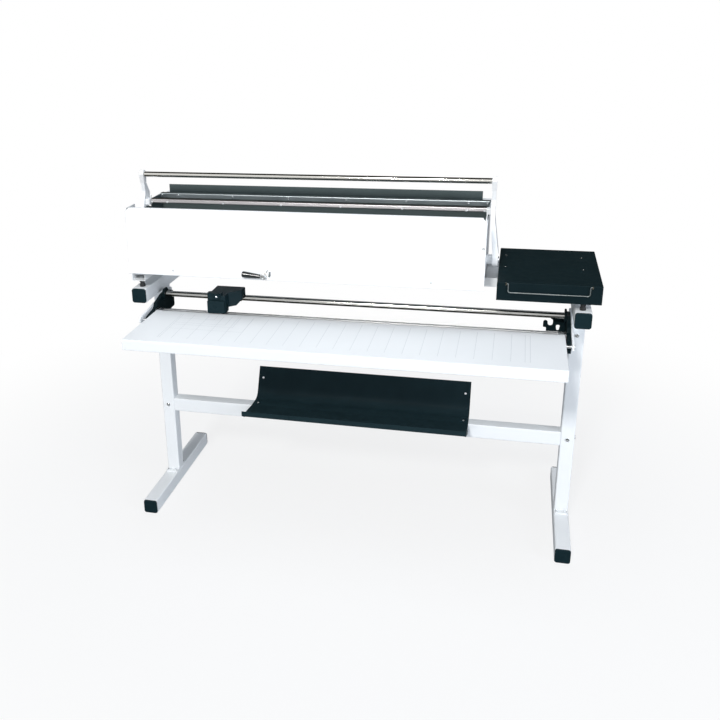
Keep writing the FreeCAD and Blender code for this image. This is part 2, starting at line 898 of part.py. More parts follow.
def bracket_corners():
    back_y = bracket_back_reach
    nose_y = -bracket_nose_reach
    arm_z = table_top_z + bracket_arm_rise
    return [(back_y, bracket_bottom_z, bracket_round), (back_y, bracket_back_z, bracket_round),
            (back_y / 3, (bracket_back_z + bracket_peak_z) / 2, bracket_round),
            (rail_y + end_block_depth, bracket_peak_z, bracket_round),
            (rail_y - end_block_depth / 3, bracket_peak_z, bracket_round),
            (nose_y + end_block_depth / 3, rail_z - end_block_depth / 3, bracket_round),
            (nose_y, arm_z, bracket_round),
            (-bracket_arm_reach, table_top_z - bracket_tip_drop, bracket_round / 2),
            (-bracket_arm_reach, bracket_bottom_z, bracket_round / 2)]


def end_bracket(side):
    plate = prism("x", bracket_corners(), bracket_inner_x, cheek_inner_x)
    if side < 0:
        plate = plate.mirror(FreeCAD.Vector(0, 0, 0), FreeCAD.Vector(1, 0, 0))
    for axis, outward, a, b, face in bracket_screw_places(side):
        low_x, high_x = sorted((face, side * (bracket_inner_x - overrun)))
        plate = plate.cut(rod(axis, low_x, high_x, a, b, screw_head_radius + running_gap))
    return drilled(plate, bracket_screw_places(side))


# Headed studs from the table's ends through the plates on the uprights
def table_studs():
    y = -table_stud_reach
    z = table_top_z - table_stud_drop
    stud = rod("x", table_end_x, upright_inner_x, y, z, table_stud_radius)
    head = rod("x", upright_inner_x, upright_inner_x + stud_head_height, y, z, stud_head_radius)
    return both_sides(stud.fuse(head), 0)


def table_stud_hole():
    return rod("x", -upright_inner_x - overrun, upright_inner_x + overrun, -table_stud_reach,
               table_top_z - table_stud_drop, table_stud_radius + running_gap)


# Sunk screws through an end bracket into its upright
def bracket_screw_places(side):
    face = side * (bracket_inner_x + bracket_screw_sink)
    return [("x", -side, 0, table_top_z + rise, face) for rise in bracket_screw_rises]


# Plate with a horn, a notch open to the left and a hole, standing off the right bracket
def hook_plate():
    tip_x = bracket_inner_x - hook_length
    notch_left_x = tip_x + hook_horn_width
    notch_right_x = notch_left_x + hook_notch_width
    notch_z = table_top_z - hook_notch_drop
    chin_z = table_top_z - hook_chin_drop
    horn_round = hook_horn_width / 2 - tiny
    notch_round = hook_notch_width / 2 - tiny
    corners = [(tip_x + hook_chin, hook_bottom_z, 0), (bracket_inner_x, hook_bottom_z, 0),
               (bracket_inner_x, hook_top_z, 0), (notch_right_x - hook_beak, hook_top_z, 0),
               (notch_right_x, hook_top_z - hook_beak_drop, hook_round),
               (notch_right_x, notch_z, notch_round), (notch_left_x, notch_z, notch_round),
               (notch_left_x, hook_horn_z, horn_round), (tip_x, hook_horn_z, horn_round),
               (tip_x, chin_z, hook_round), (tip_x + hook_chin, chin_z, hook_round)]
    y_low = -hook_setback
    plate = prism("y", corners, y_low, y_low + hook_thickness)
    hole_x = tip_x + hook_hole_from_tip
    hole_top_z = table_top_z - hook_hole_top_drop
    hole_bottom_z = table_top_z - hook_hole_bottom_drop
    hole = [(hole_x - hook_hole_width / 2, hole_top_z, hook_hole_width / 3),
            (hole_x + hook_hole_width / 2, hole_top_z, hook_hole_width / 3),
            (hole_x + hook_hole_foot / 2, hole_bottom_z, hook_hole_foot / 3),
            (hole_x - hook_hole_foot / 2, hole_bottom_z, hook_hole_foot / 3)]
    return plate.cut(prism("y", hole, y_low - overrun, y_low + hook_thickness + overrun))


# Carriage body: a barrel round the rail and a nose over the fixed blade
def cutter_head():
    nose_back_y = head_front_y + head_nose_depth
    barrel_front_y = nose_back_y + head_flank_depth
    plan = [(head_left_x, head_front_y, head_round), (head_nose_right_x, head_front_y, head_round),
            (head_nose_right_x, nose_back_y, 2 * head_round),
            (head_right_x, barrel_front_y, 2 * head_round),
            (head_right_x, head_back_y, head_round), (head_left_x, head_back_y, head_round)]
    body = prism("z", plan, head_barrel_bottom_z, head_top_z)
    top = [edge for edge in body.Edges if edge.BoundBox.ZMin > head_top_z - tiny]
    body = body.makeFillet(head_round / 2, top)
    nose_plan = [(head_left_x, head_front_y, head_round),
                 (head_nose_right_x, head_front_y, head_round),
                 (head_nose_right_x, nose_back_y, 0), (head_left_x, nose_back_y, 0)]
    nose = prism("z", nose_plan, table_top_z + head_nose_gap, head_barrel_bottom_z)
    boss = prism("z", rectangle(head_left_x, head_left_x + head_boss_width, head_front_y,
                                head_front_y + head_boss_depth, head_round),
                 head_top_z - head_round, head_top_z + head_boss_rise)
    head = fused([body, nose, boss])
    undercut = [(head_right_x - head_undercut_run, head_barrel_bottom_z - overrun, 0),
                (head_right_x + overrun, head_barrel_bottom_z - overrun, 0),
                (head_right_x + overrun, head_barrel_bottom_z + head_undercut_rise, 0)]
    head = head.cut(prism("y", undercut, head_front_y - overrun, head_back_y + overrun))
    head = head.cut(rod("x", head_left_x - overrun, head_right_x + overrun,
                        rail_y, rail_z, rail_radius + bush_wall))
    room_y = blade_back_y + blade_side_gap - blade_room
    room_back_y = room_y + blade_room + blade_thickness + blade_hub_thickness + blade_room
    room = blade_radius + blade_room
    head = head.cut(block(blade_x - room, blade_x + room, room_y, room_back_y,
                          table_top_z, blade_z + room))
    head = head.cut(rod("y", head_front_y - overrun, head_front_y + axle_length,
                        blade_x, blade_z, axle_radius + running_gap))
    knob_z = head_top_z - knob_drop
    return head.cut(rod("y", head_front_y - overrun, head_front_y + knob_height,
                        head_left_x + knob_inset_x, knob_z, knob_stem_radius + running_gap))


def rail_bushes():
    shapes = []
    for low_x in (head_left_x, head_right_x - head_undercut_run / 2 - bush_length):
        ring = rod("x", low_x, low_x + bush_length, rail_y, rail_z, rail_radius + bush_wall)
        shapes.append(ring.cut(rod("x", low_x - overrun, low_x + bush_length + overrun,
                                   rail_y, rail_z, rail_radius + running_gap)))
    return group(shapes)


def cutter_guard():
    low_z = table_top_z + head_nose_gap
    plate = prism("y", rectangle(guard_left_x, guard_left_x + guard_width,
                                 low_z, low_z + guard_height, guard_round),
                  head_front_y - guard_thickness, head_front_y)
    front = [edge for edge in plate.Edges
             if edge.BoundBox.YMax < head_front_y - guard_thickness + tiny]
    plate = plate.makeFillet(guard_round / 2, front)
    return plate.cut(rod("y", head_front_y - guard_thickness / 2, head_front_y + overrun,
                         blade_x, blade_z, axle_radius + running_gap))


# Axle of the round blade, held behind the guard
def blade_axle():
    return rod("y", head_front_y - guard_thickness / 2, head_front_y + axle_length,
               blade_x, blade_z, axle_radius)


# Fluted knob that sets the carriage's pressure
def head_knob():
    x = head_left_x + knob_inset_x
    z = head_top_z - knob_drop
    knob = rod("y", head_front_y - knob_height, head_front_y, x, z, knob_radius)
    for step in range(knob_grips):
        angle = step * 2 * math.pi / knob_grips
        groove_x = x + knob_radius * math.cos(angle)
        groove_z = z + knob_radius * math.sin(angle)
        knob = knob.cut(rod("y", head_front_y - knob_height - overrun, head_front_y + overrun,
                            groove_x, groove_z, knob_radius / knob_grips))
    return knob.fuse(rod("y", head_front_y, head_front_y + knob_height, x, z, knob_stem_radius))


# Round blade with a bevelled edge and its hub
def cutter_blade():
    face_y = blade_back_y + blade_side_gap
    disc = rod("y", face_y, face_y + blade_thickness, blade_x, blade_z, blade_radius)
    back = [edge for edge in disc.Edges if edge.BoundBox.YMin > face_y + blade_thickness - tiny
            and edge.Length > math.pi * blade_radius]
    disc = disc.makeChamfer(blade_thickness / 2, back)
    disc = disc.fuse(rod("y", face_y + blade_thickness,
                         face_y + blade_thickness + blade_hub_thickness,
                         blade_x, blade_z, blade_hub_radius))
    return disc.cut(rod("y", face_y - overrun, face_y + overrun + overrun,
                        blade_x, blade_z, axle_radius + running_gap))


def tray_path():
    return [(-tray_lip_reach, tray_lip_top_z, 0),
            (-tray_lip_reach, tray_lip_bottom_z, tray_front_bend),
            (crossbeam_front_y, crossbeam_top, tray_floor_bend),
            (tray_back_foot_reach, crossbeam_top, tray_back_bend),
            (tray_back_reach, tray_back_z, 0)]


# Height of the tray's straight outer back at a reach from the uprights' centre
def tray_back_height(reach):
    return crossbeam_top + (reach - tray_back_foot_reach) * math.tan(math.radians(tray_back_lean))


# Height of the tray's straight outer front at a reach forward of the uprights' centre
def tray_front_height(reach):
    share = (reach + crossbeam_front_y) / (tray_lip_reach + crossbeam_front_y)
    return crossbeam_top + share * (tray_lip_bottom_z - crossbeam_top)


# Screws through the tray: two down into the crossbeam, two into the straps
def tray_screw_places():
    x = tray_end_x - tray_screw_inset
    normal = math.radians(tray_back_lean)
    back_y = tray_back_screw_reach - tray_sheet * math.sin(normal)
    back_z = tray_back_height(tray_back_screw_reach) + tray_sheet * math.cos(normal)
    places = []
    for side in (-1, 1):
        places.append(("z", 1, side * x, -tray_floor_screw_reach, crossbeam_top + tray_sheet))
        places.append(("z", 1, side * x, back_y, back_z, tray_back_lean))
    return places


def catch_tray():
    tray = folded("x", tray_path(), tray_sheet, -tray_end_x, tray_end_x)
    return drilled(tray, tray_screw_places())


# Bent straps from the crossbeam's back up the outside of the tray
def tray_straps():
    path = [(crossbeam_back_y, crossbeam_top - strap_leg - strap_leg, 0),
            (crossbeam_back_y, crossbeam_top - strap_leg, 0),
            (strap_knee_reach, crossbeam_top - strap_knee_drop, 0),
            (strap_seat_reach, tray_back_height(strap_seat_reach), 0),
            (strap_back_reach, tray_back_height(strap_back_reach), 0)]
    x = tray_end_x - tray_screw_inset
    strap = folded("x", path, -strap_sheet, x - strap_width / 2, x + strap_width / 2)
    return drilled(both_sides(strap, 0), tray_screw_places())


# Gussets under the tray's front half, standing on the crossbeam's front
def tray_gussets():
    nose_z = tray_front_height(gusset_reach)
    corners = [(crossbeam_front_y, crossbeam_top, 0), (-gusset_reach, nose_z, 0),
               (-gusset_reach, nose_z - gusset_nose_height, 0),
               (crossbeam_front_y, crossbeam_top - gusset_root_height, 0)]
    plate = prism("x", corners, tray_end_x - gusset_thickness, tray_end_x)
    return both_sides(plate.cut(folded("x", tray_path(), tray_sheet, -tray_end_x - overrun,
                                       tray_end_x + overrun)), 0)


def rubber_feet():
    shapes = []
    waist_low = support_top_z + rubber_foot_flange
    waist_high = base_z - rubber_foot_flange
    for side in (-1, 1):
        for reach in (-rubber_foot_reach, rubber_foot_reach):
            x = side * (foot_x - rubber_foot_inset)
            foot = fused([rod("z", support_top_z, waist_low, x, reach, rubber_foot_radius),
                          rod("z", waist_low, waist_high, x, reach, rubber_foot_waist),
                          rod("z", waist_high, base_z, x, reach, rubber_foot_radius)])
            shapes.append(foot)
    return group(shapes)


def base_rails():
    rail = box_tube("y", -rail_box_front_reach, rail_box_back_reach, rail_box_x,
                    base_z + rail_box_height / 2, rail_box_width, rail_box_height,
                    rail_box_wall, rail_box_corner)
    return both_sides(rail, 0)


# Long trough that carries the folder and the shelf
def base_pan():
    path = [(-pan_front_reach, pan_top_z, 0), (-pan_front_reach, base_z, pan_bend),
            (pan_back_reach, base_z, pan_bend), (pan_back_reach, pan_top_z, 0)]
    return folded("x", path, pan_sheet, -rail_box_inner_x, rail_box_inner_x)


# Side plate outline in Y and Z, before the handle's notch is cut
def side_corners():
    bottom_z = cover_bottom_z + side_bottom_rise
    bend_z = cover_bend_z - cover_sheet * math.tan(math.radians(cover_lean) / 2)
    return [(side_front_y, bend_z, 0), (side_front_y, cover_top_z - side_top_drop, cover_round),
            (end_link_back_y + swing_room, cover_top_z - side_top_drop, 0),
            (end_link_back_y + swing_room, side_rear_z, 0), (board_back_y, side_rear_z, 0),
            (board_back_y, rear_cover_top_z - rear_cover_sheet, 0),
            (rear_inner_y, rear_cover_top_z - rear_cover_sheet, rear_cover_bend),
            (rear_inner_y, pan_top_z, 0),
            (pan_back_reach - pan_sheet - pan_bend, pan_top_z, 0),
            (pan_back_reach - pan_sheet - pan_bend, pan_floor_z, 0),
            (-pan_front_reach + pan_sheet + pan_bend, pan_floor_z, 0),
            (-pan_front_reach + pan_sheet + pan_bend, bottom_z, 0),
            (cover_face_y(bottom_z) + cover_sheet / math.cos(math.radians(cover_lean)), bottom_z, 0)]


def side_plate_shape(side):
    low_x = min(folder_middle_x + side * side_inner_span, folder_middle_x + side * side_outer_span)
    high_x = low_x + side_plate
    plate = prism("x", side_corners(), low_x, high_x)
    sweep = rod("x", low_x - overrun, high_x + overrun, pivot_y, pivot_z, sweep_radius)
    notch = block(low_x - overrun, high_x + overrun, -swing_notch_front_reach,
                  end_link_back_y + seat_gap, pivot_z, cover_top_z)
    plate = plate.cut(notch.cut(sweep))
    plate = plate.cut(rod("x", low_x - overrun, high_x + overrun, pivot_y, pivot_z,
                          pin_radius + running_gap))
    return drilled(plate, cover_screw_places()[:1])


# The front cover's outer face at a height
def cover_face_y(z):
    return cover_front_y - max(cover_bend_z - z, 0) * math.tan(math.radians(cover_lean))


# Front cover: folded lip, flat face, leaning foot, end returns and clipped corners
def front_cover():
    path = [(cover_front_y + cover_lip, cover_top_z, 0), (cover_front_y, cover_top_z, cover_round),
            (cover_front_y, cover_bend_z, 0), (cover_foot_y, cover_bottom_z, cover_round),
            (cover_foot_y + cover_lip, cover_bottom_z, 0)]
    pieces = [folded("x", path, cover_sheet, cover_left_x, cover_right_x)]
    for edge_x in (cover_left_x, cover_right_x - cover_sheet):
        pieces.append(block(edge_x, edge_x + cover_sheet, side_front_y,
                            side_front_y + cover_return, cover_bend_z,
                            cover_top_z - cover_corner_cut))
    cover = fused(pieces)
    for edge_x, inward in ((cover_left_x, 1), (cover_right_x, -1)):
        corner = [(edge_x - inward * overrun, cover_top_z + overrun, 0),
                  (edge_x + inward * (cover_corner_cut + overrun), cover_top_z + overrun, 0),
                  (edge_x - inward * overrun, cover_top_z - cover_corner_cut - overrun, 0)]
        cover = cover.cut(prism("y", corner, cover_foot_y, 0))
    cover = cover.cut(rod("y", cover_foot_y - overrun, -lever_bush_reach + lever_bush_length,
                          lever_x, lever_z, lever_bush_radius + running_gap))
    return drilled(cover.cut(lever_slot()), cover_screw_places())


# Narrow slot beside the lever through which the setting is read
def lever_slot():
    x = lever_x + lever_slot_offset
    low_z = lever_z + lever_slot_width - lever_slot_height / 2
    return block(x - lever_slot_width / 2, x + lever_slot_width / 2, cover_foot_y - overrun,
                 cover_front_y, low_z, low_z + lever_slot_height)


# Screws of the front cover: one in each end return or edge and two at its foot
def cover_screw_places():
    low_face = cover_face_y(low_screw_z)
    return [("x", -1, -side_screw_reach, edge_screw_z, cover_left_x),
            ("y", -1, cover_right_x - edge_screw_inset, edge_screw_z, cover_front_y),
            ("y", -1, cover_left_x + low_screw_inset, low_screw_z, low_face, -cover_lean),
            ("y", -1, cover_right_x - low_screw_inset, low_screw_z, low_face, -cover_lean)]


# Floor of the hopper between the side plates, with flanges turned down
def hopper_floor():
    path = [(side_front_y, floor_top_z - floor_flange / 2, 0), (side_front_y, floor_top_z, floor_bend),
            (slot_plate_y, floor_top_z, floor_bend), (slot_plate_y, floor_top_z - floor_flange, 0)]
    floor = folded("x", path, -floor_sheet, inner_left_x, inner_right_x)
    return floor


# Front wall of the slot in which the sheet stands
def slot_front_plate():
    return block(inner_left_x, inner_right_x, slot_plate_y, slot_plate_back_reach,
                 slot_plate_bottom_z, rear_profile_bottom_z)


# Fixed profile over which the sheet is creased
def rear_profile():
    section = [(rear_profile_front_y, rear_profile_bottom_z, 0),
               (slot_plate_back_reach, rear_profile_bottom_z, 0),
               (slot_plate_back_reach, rear_profile_top_z, 0),
               (rear_profile_front_y, rear_profile_top_z, rear_profile_round)]
    profile = prism("x", section, inner_left_x, inner_right_x)
    profile = profile.cut(rod("x", inner_left_x - overrun, inner_right_x + overrun,
                              slot_plate_back_reach - rear_profile_depth / 2,
                              rear_profile_bottom_z + rear_profile_height / 2, rear_profile_bore))
    return drilled(profile, rear_profile_screw_places())


def profile_screw_xs(end_span):
    first = side_inner_span - profile_screw_inset
    pitch = 2 * first / (profile_screw_count - 1)
    middle = [folder_middle_x - first + index * pitch for index in range(profile_screw_count)]
    end = end_span - profile_end_screw_inset
    return [folder_middle_x - end] + middle + [folder_middle_x + end]


def rear_profile_screw_places():
    z = rear_profile_bottom_z + rear_profile_height / 2
    return [("y", -1, x, z, rear_profile_front_y) for x in profile_screw_xs(side_inner_span)]


def backing_board():
    return block(folder_middle_x - board_length / 2, folder_middle_x + board_length / 2,
                 board_front_y, board_back_y, board_bottom_z, board_top_z)


# Angle between the side plates on which the backing board stands
def board_ledge():
    path = [(board_front_y, board_bottom_z - ledge_sheet, 0),
            (board_back_y + ledge_sheet, board_bottom_z - ledge_sheet, 0),
            (board_back_y + ledge_sheet, board_bottom_z + ledge_height, 0)]
    return folded("x", path, ledge_sheet, inner_left_x, inner_right_x)


# Sheet that closes the back, folded over the side plates' rear edges
def rear_cover():
    path = [(board_back_y, rear_cover_top_z, 0), (rear_cover_reach, rear_cover_top_z, rear_cover_bend),
            (rear_cover_reach, rear_cover_bottom_z, 0)]
    return folded("x", path, -rear_cover_sheet, folder_middle_x - side_outer_span,
                  folder_middle_x + side_outer_span)


# Bosses, washers and pins on which the two arms turn
def pivot_bosses():
    start = folder_middle_x + side_outer_span
    boss = rod("x", start, start + boss_length, pivot_y, pivot_z, boss_radius)
    boss = boss.cut(rod("x", start - overrun, start + boss_length + overrun,
                        pivot_y, pivot_z, pin_radius + running_gap))
    return both_sides(boss, folder_middle_x)


def pivot_washers():
    start = folder_middle_x + side_outer_span + boss_length
    ring = rod("x", start, start + washer_thickness, pivot_y, pivot_z, boss_radius)
    ring = ring.cut(rod("x", start - overrun, start + washer_thickness + overrun,
                        pivot_y, pivot_z, pin_radius + running_gap))
    return both_sides(ring, folder_middle_x)


def pivot_pins():
    start = inner_right_x
    end = folder_middle_x + hub_outer_span + seat_gap
    pin = rod("x", start, end, pivot_y, pivot_z, pin_radius)
    head = rod("x", end, end + pin_head_height, pivot_y, pivot_z, pin_head_radius)
    rim = [edge for edge in head.Edges if edge.BoundBox.XMin > end + pin_head_height - tiny]
    head = head.makeFillet(pin_head_height / 3, rim)
    return both_sides(pin.fuse(head), folder_middle_x)


# Arm outline from the side: hub, waist, elbow and neck
def arm_corners():
    low_front_y = pivot_y - hub_radius
    low_back_y = pivot_y + hub_radius
    shoulder_z = pivot_z + hub_radius / 3
    return [(low_front_y, pivot_z - hub_radius, hub_radius - tiny),
            (low_front_y, shoulder_z, hub_radius / 2),
            (arm_waist_front, arm_waist_z, arm_round),
            (arm_elbow_front, arm_elbow_front_z, arm_round),
            (arm_neck_front, arm_joint_z, 0), (arm_neck_back, arm_joint_z, 0),
            (arm_elbow_back, arm_elbow_back_z, arm_round),
            (arm_waist_back, arm_waist_z, arm_round),
            (low_back_y, shoulder_z, hub_radius / 2),
            (low_back_y, pivot_z - hub_radius, hub_radius - tiny)]


# Arm outline from the front: a wide hub that leans in to the thinner upper arm
def arm_front_corners():
    low_z = pivot_z - hub_radius - overrun
    high_z = arm_joint_z + overrun
    inner = folder_middle_x + hub_inner_span
    outer = folder_middle_x + hub_outer_span
    top_inner = folder_middle_x + arm_inner_span
    top_outer = folder_middle_x + arm_outer_span
    return [(inner, low_z, 0), (outer, low_z, 0), (outer, arm_lean_low_z, 0),
            (top_outer, arm_lean_high_z, 0), (top_outer, high_z, 0), (top_inner, high_z, 0),
            (top_inner, arm_lean_high_z, 0), (inner, arm_lean_low_z, 0)]


def swing_arm(side):
    side_view = prism("x", arm_corners(), inner_right_x, folder_middle_x + hub_outer_span + overrun)
    front_view = prism("y", arm_front_corners(), pivot_y - 2 * hub_radius,
                       arm_elbow_back + 2 * hub_radius)
    arm = side_view.common(front_view)
    arm = arm.cut(rod("x", folder_middle_x, folder_middle_x + hub_outer_span + overrun,
                      pivot_y, pivot_z, pin_radius + running_gap))
    if side < 0:
        arm = arm.mirror(FreeCAD.Vector(folder_middle_x, 0, 0), FreeCAD.Vector(1, 0, 0))
    return arm


# White end pieces on the arms that hold the handle bar
def bar_knuckles():
    centre = folder_middle_x + (arm_inner_span + arm_outer_span) / 2
    low_x = centre - knuckle_width / 2
    corners = [(arm_neck_front, arm_joint_z, 0), (arm_neck_back, arm_joint_z, 0),
               (bar_back_reach + knuckle_radius, bar_z, 0),
               (bar_back_reach + knuckle_radius, bar_z + knuckle_radius, knuckle_radius - tiny),
               (bar_back_reach - knuckle_radius, bar_z + knuckle_radius, knuckle_radius - tiny),
               (bar_back_reach - knuckle_radius, bar_z, 0)]
    knuckle = prism("x", corners, low_x, low_x + knuckle_width)
    knuckle = knuckle.cut(rod("x", low_x - overrun, low_x + bar_hold, bar_back_reach, bar_z,
                              bar_radius + running_gap))
    return both_sides(knuckle, folder_middle_x)


def handle_bar():
    centre_span = (arm_inner_span + arm_outer_span) / 2
    span = centre_span - knuckle_width / 2 + bar_hold
    bar = rod("x", folder_middle_x - span, folder_middle_x + span, bar_back_reach, bar_z, bar_radius)
    return bar.cut(rod("x", folder_middle_x - span - overrun, folder_middle_x + span + overrun,
                       bar_back_reach, bar_z, bar_radius - bar_wall))


# Front face of the moving profile at a height: it leans back towards its top
def front_profile_face(z):
    share = (z - front_profile_bottom_z) / front_profile_height
    return front_profile_front + share * front_profile_lean


# Moving profile with a grooved front face and a round bore
def front_profile():
    lean = math.degrees(math.atan2(front_profile_lean, front_profile_height))
    low_y = front_profile_front
    corners = [(low_y, front_profile_bottom_z, front_profile_round),
               (low_y + front_profile_lean, front_profile_top_z, front_profile_round),
               (front_profile_back_y, front_profile_top_z, 0),
               (front_profile_back_y, front_profile_bottom_z, 0)]
    left_x = folder_middle_x - front_profile_span
    right_x = folder_middle_x + front_profile_span
    profile = prism("x", corners, left_x, right_x)
    groove_z = front_profile_bottom_z + front_profile_height * 2 / 3
    groove_y = front_profile_face(groove_z)
    groove = block(left_x - overrun, right_x + overrun, groove_y - overrun,
                   groove_y + front_profile_groove_depth, groove_z - front_profile_groove / 2,
                   groove_z + front_profile_groove / 2)
    profile = profile.cut(leaned(groove, "y", left_x, groove_z, groove_y, -lean))
    profile = profile.cut(rod("x", left_x - overrun, right_x + overrun,
                              front_profile_back_y - front_profile_depth / 3,
                              front_profile_bottom_z + front_profile_height / 2,
                              front_profile_bore))
    return drilled(profile, front_screw_places())


def front_screw_places():
    lean = math.degrees(math.atan2(front_profile_lean, front_profile_height))
    z = front_profile_bottom_z + front_profile_height / 3
    return [("y", -1, x, z, front_profile_face(z), -lean)
            for x in profile_screw_xs(front_profile_span)]


# Blocks that join the moving profile's ends to the arms, over the side plates
def profile_end_links():
    low_x = folder_middle_x + front_profile_span
    link = prism("x", rectangle(end_link_front, end_link_back_y, end_link_low_z,
                                front_profile_top_z, tube_wall),
                 low_x, folder_middle_x + arm_inner_span)
    return both_sides(link, folder_middle_x)


def moving_screws():
    return group([screw(*place) for place in front_screw_places()])


# Small screws of the covers, the fixed profile, the trimmer, the tray and the shelf
def panel_screws():
    places = (cover_screw_places() + rear_profile_screw_places() + tray_screw_places()
              + clamp_screw_places() + bracket_screw_places(-1) + bracket_screw_places(1))
    sunk = [sunk_screw(place[2], place[3], shelf_top_z) for place in shelf_screw_places()]
    return group([screw(*place) for place in places] + sunk)


# Point on the cover's leaning foot, moved outwards by a distance
def foot_face_point(z, outwards):
    lean = math.radians(cover_lean)
    return (cover_face_y(z) - outwards * math.cos(lean), z + outwards * math.sin(lean), 0)


# Small plate on the cover's foot round the lever
def lever_plate():
    low_z = lever_z - lever_plate_below
    high_z = lever_z + lever_plate_above
    corners = [foot_face_point(low_z, 0), foot_face_point(high_z, 0),
               foot_face_point(high_z, lever_plate_sheet), foot_face_point(low_z, lever_plate_sheet)]
    plate = prism("x", corners, lever_x - lever_plate_left, lever_x + lever_plate_right)
    plate = plate.cut(rod("y", cover_foot_y - 2 * overrun, cover_front_y, lever_x, lever_z,
                          lever_bush_radius + running_gap))
    return plate.cut(lever_slot())


def lever_bush():
    start = -lever_bush_reach
    tube = rod("y", start, start + lever_bush_length, lever_x, lever_z, lever_bush_radius)
    return tube.cut(rod("y", start - overrun, 0, lever_x, lever_z,
                        lever_shaft_radius + running_gap))


# Hub turned in one piece with its long shaft, with a ring and a dimple in its front face
def lever_hub():
    back_y = -lever_bush_reach - seat_gap
    face_y = back_y - lever_hub_length
    hub = rod("y", face_y, back_y, lever_x, lever_z, lever_hub_radius)
    rim = [edge for edge in hub.Edges if edge.BoundBox.YMax < face_y + tiny]
    hub = hub.makeFillet(lever_hub_length / 6, rim)
    ring = rod("y", face_y - overrun, face_y + hub_ring_depth, lever_x, lever_z, hub_ring_radius)
    core = rod("y", face_y - overrun, face_y + hub_ring_depth, lever_x, lever_z,
               hub_ring_radius - hub_ring_width)
    dimple = rod("y", face_y - overrun, face_y + hub_ring_depth, lever_x, lever_z, hub_dimple_radius)
    hub = hub.cut(ring.cut(core)).cut(dimple)
    shaft = rod("y", back_y, cam_back_reach, lever_x, lever_z, lever_shaft_radius)
    return fused([hub, shaft, lever_stem(grip_stem_radius)])


# Middle of the hub, on the grip's axis
def lever_middle_y():
    return -lever_bush_reach - seat_gap - lever_hub_length / 2


# Lever pieces lean up a little towards the grip's end
def tilted(shape):
    shape.rotate(FreeCAD.Vector(lever_x, lever_middle_y(), lever_z),
                 FreeCAD.Vector(0, 1, 0), lever_tilt)
    return shape


# Round stem from the hub's middle into the grip
def lever_stem(radius):
    return tilted(rod("x", lever_x - lever_hub_radius - grip_root, lever_x, lever_middle_y(),
                      lever_z, radius))


def lever_grip():
    root_x = lever_x - lever_hub_radius - seat_gap
    grip = Part.makeCone(grip_root_radius, grip_tip_radius, grip_length,
                         FreeCAD.Vector(root_x, lever_middle_y(), lever_z),
                         FreeCAD.Vector(-1, 0, 0))
    tip = [edge for edge in grip.Edges if edge.BoundBox.XMax < root_x - grip_length + tiny]
    grip = tilted(grip.makeFillet(grip_nose_round, tip))
    keep_out = rod("y", lever_middle_y() - lever_hub_length, lever_middle_y() + lever_hub_length,
                   lever_x, lever_z, lever_hub_radius + seat_gap)
    return grip.cut(lever_stem(grip_stem_radius)).cut(keep_out)


# Half outline of the heart shaped cam: its radius grows evenly with the angle
def cam_half(side):
    points = []
    for index in range(cam_points):
        angle = math.pi * index / (cam_points - 1)
        radius = cam_base_radius + stop_travel * angle / math.pi
        points.append(FreeCAD.Vector(lever_x - side * radius * math.sin(angle), cam_front_y,
                                     lever_z + radius * math.cos(angle)))
    curve = Part.BSplineCurve()
    curve.interpolate(points)
    return curve.toShape()


def stop_cam():
    face = Part.Face(Part.Wire([cam_half(1), cam_half(-1)]))
    cam = face.extrude(FreeCAD.Vector(0, cam_thickness, 0))
    return cam.cut(rod("y", cam_front_y - overrun, cam_back_reach + overrun, lever_x, lever_z,
                       lever_shaft_radius))


# Bracket on the pan's floor in which the shaft's rear end turns
def shaft_bearing():
    back_y = cam_front_y - bearing_gap
    path = [(back_y - bearing_foot, pan_floor_z, 0), (back_y, pan_floor_z, 0),
            (back_y, lever_z + bearing_above, 0)]
    bracket = folded("x", path, bearing_sheet, lever_x - bearing_width / 2,
                     lever_x + bearing_width / 2)
    return bracket.cut(rod("y", back_y - bearing_sheet - overrun, back_y + overrun,
                           lever_x, lever_z, lever_shaft_radius + running_gap))


# Stop on which the sheet's lower edge stands: ledge, web and a tab over the cam
def paper_stop():
    left_x = inner_left_x + stop_end_gap
    right_x = inner_right_x - stop_end_gap
    low_z = stop_ledge_z - stop_sheet
    back_y = board_front_y - stop_room
    tab_y = stop_web_y + stop_sheet - stop_tab_depth
    path = [(back_y, low_z, 0), (stop_web_y, low_z, 0), (stop_web_y, stop_tab_z, 0),
            (tab_y, stop_tab_z, 0)]
    bar = folded("x", path, -stop_sheet, left_x, right_x)
    rib = block(lever_x - follower_width / 2, lever_x + follower_width / 2, cam_front_y,
                cam_back_reach, stop_tab_z - follower_height, stop_tab_z)
    stop = fused([bar, rib])
    for x, y in guide_post_places():
        stop = stop.cut(rod("z", stop_tab_z - overrun, stop_tab_z + stop_sheet + overrun, x, y,
                            guide_post_radius + guide_post_slack))
    return stop


def guide_post_places():
    y = stop_web_y + stop_sheet - stop_tab_depth / 2
    return [(cover_left_x + guide_post_inset, y), (cover_right_x - guide_post_inset, y)]


# Posts between the pan's floor and the hopper's floor that guide the stop
def stop_guide_posts():
    return group([rod("z", pan_floor_z, floor_top_z - floor_sheet, x, y, guide_post_radius)
                  for x, y in guide_post_places()])


# Screws through the shelf's top into its spacers
def shelf_screw_places():
    places = []
    for y in shelf_screw_reaches:
        places.append(("z", 1, shelf_left_x + shelf_screw_inset, y, shelf_top_z))
        places.append(("z", 1, rail_box_x, y, shelf_top_z))
    return places


# Round spacers under the shelf, on the pan's floor and on the right cross rail
def shelf_spacers():
    shapes = []
    for place in shelf_screw_places():
        low_z = rail_box_top_z if place[2] > rail_box_inner_x else pan_floor_z
        shapes.append(rod("z", low_z, shelf_top_z - shelf_sheet, place[2], place[3], spacer_radius))
    return drilled(group(shapes), shelf_screw_places())


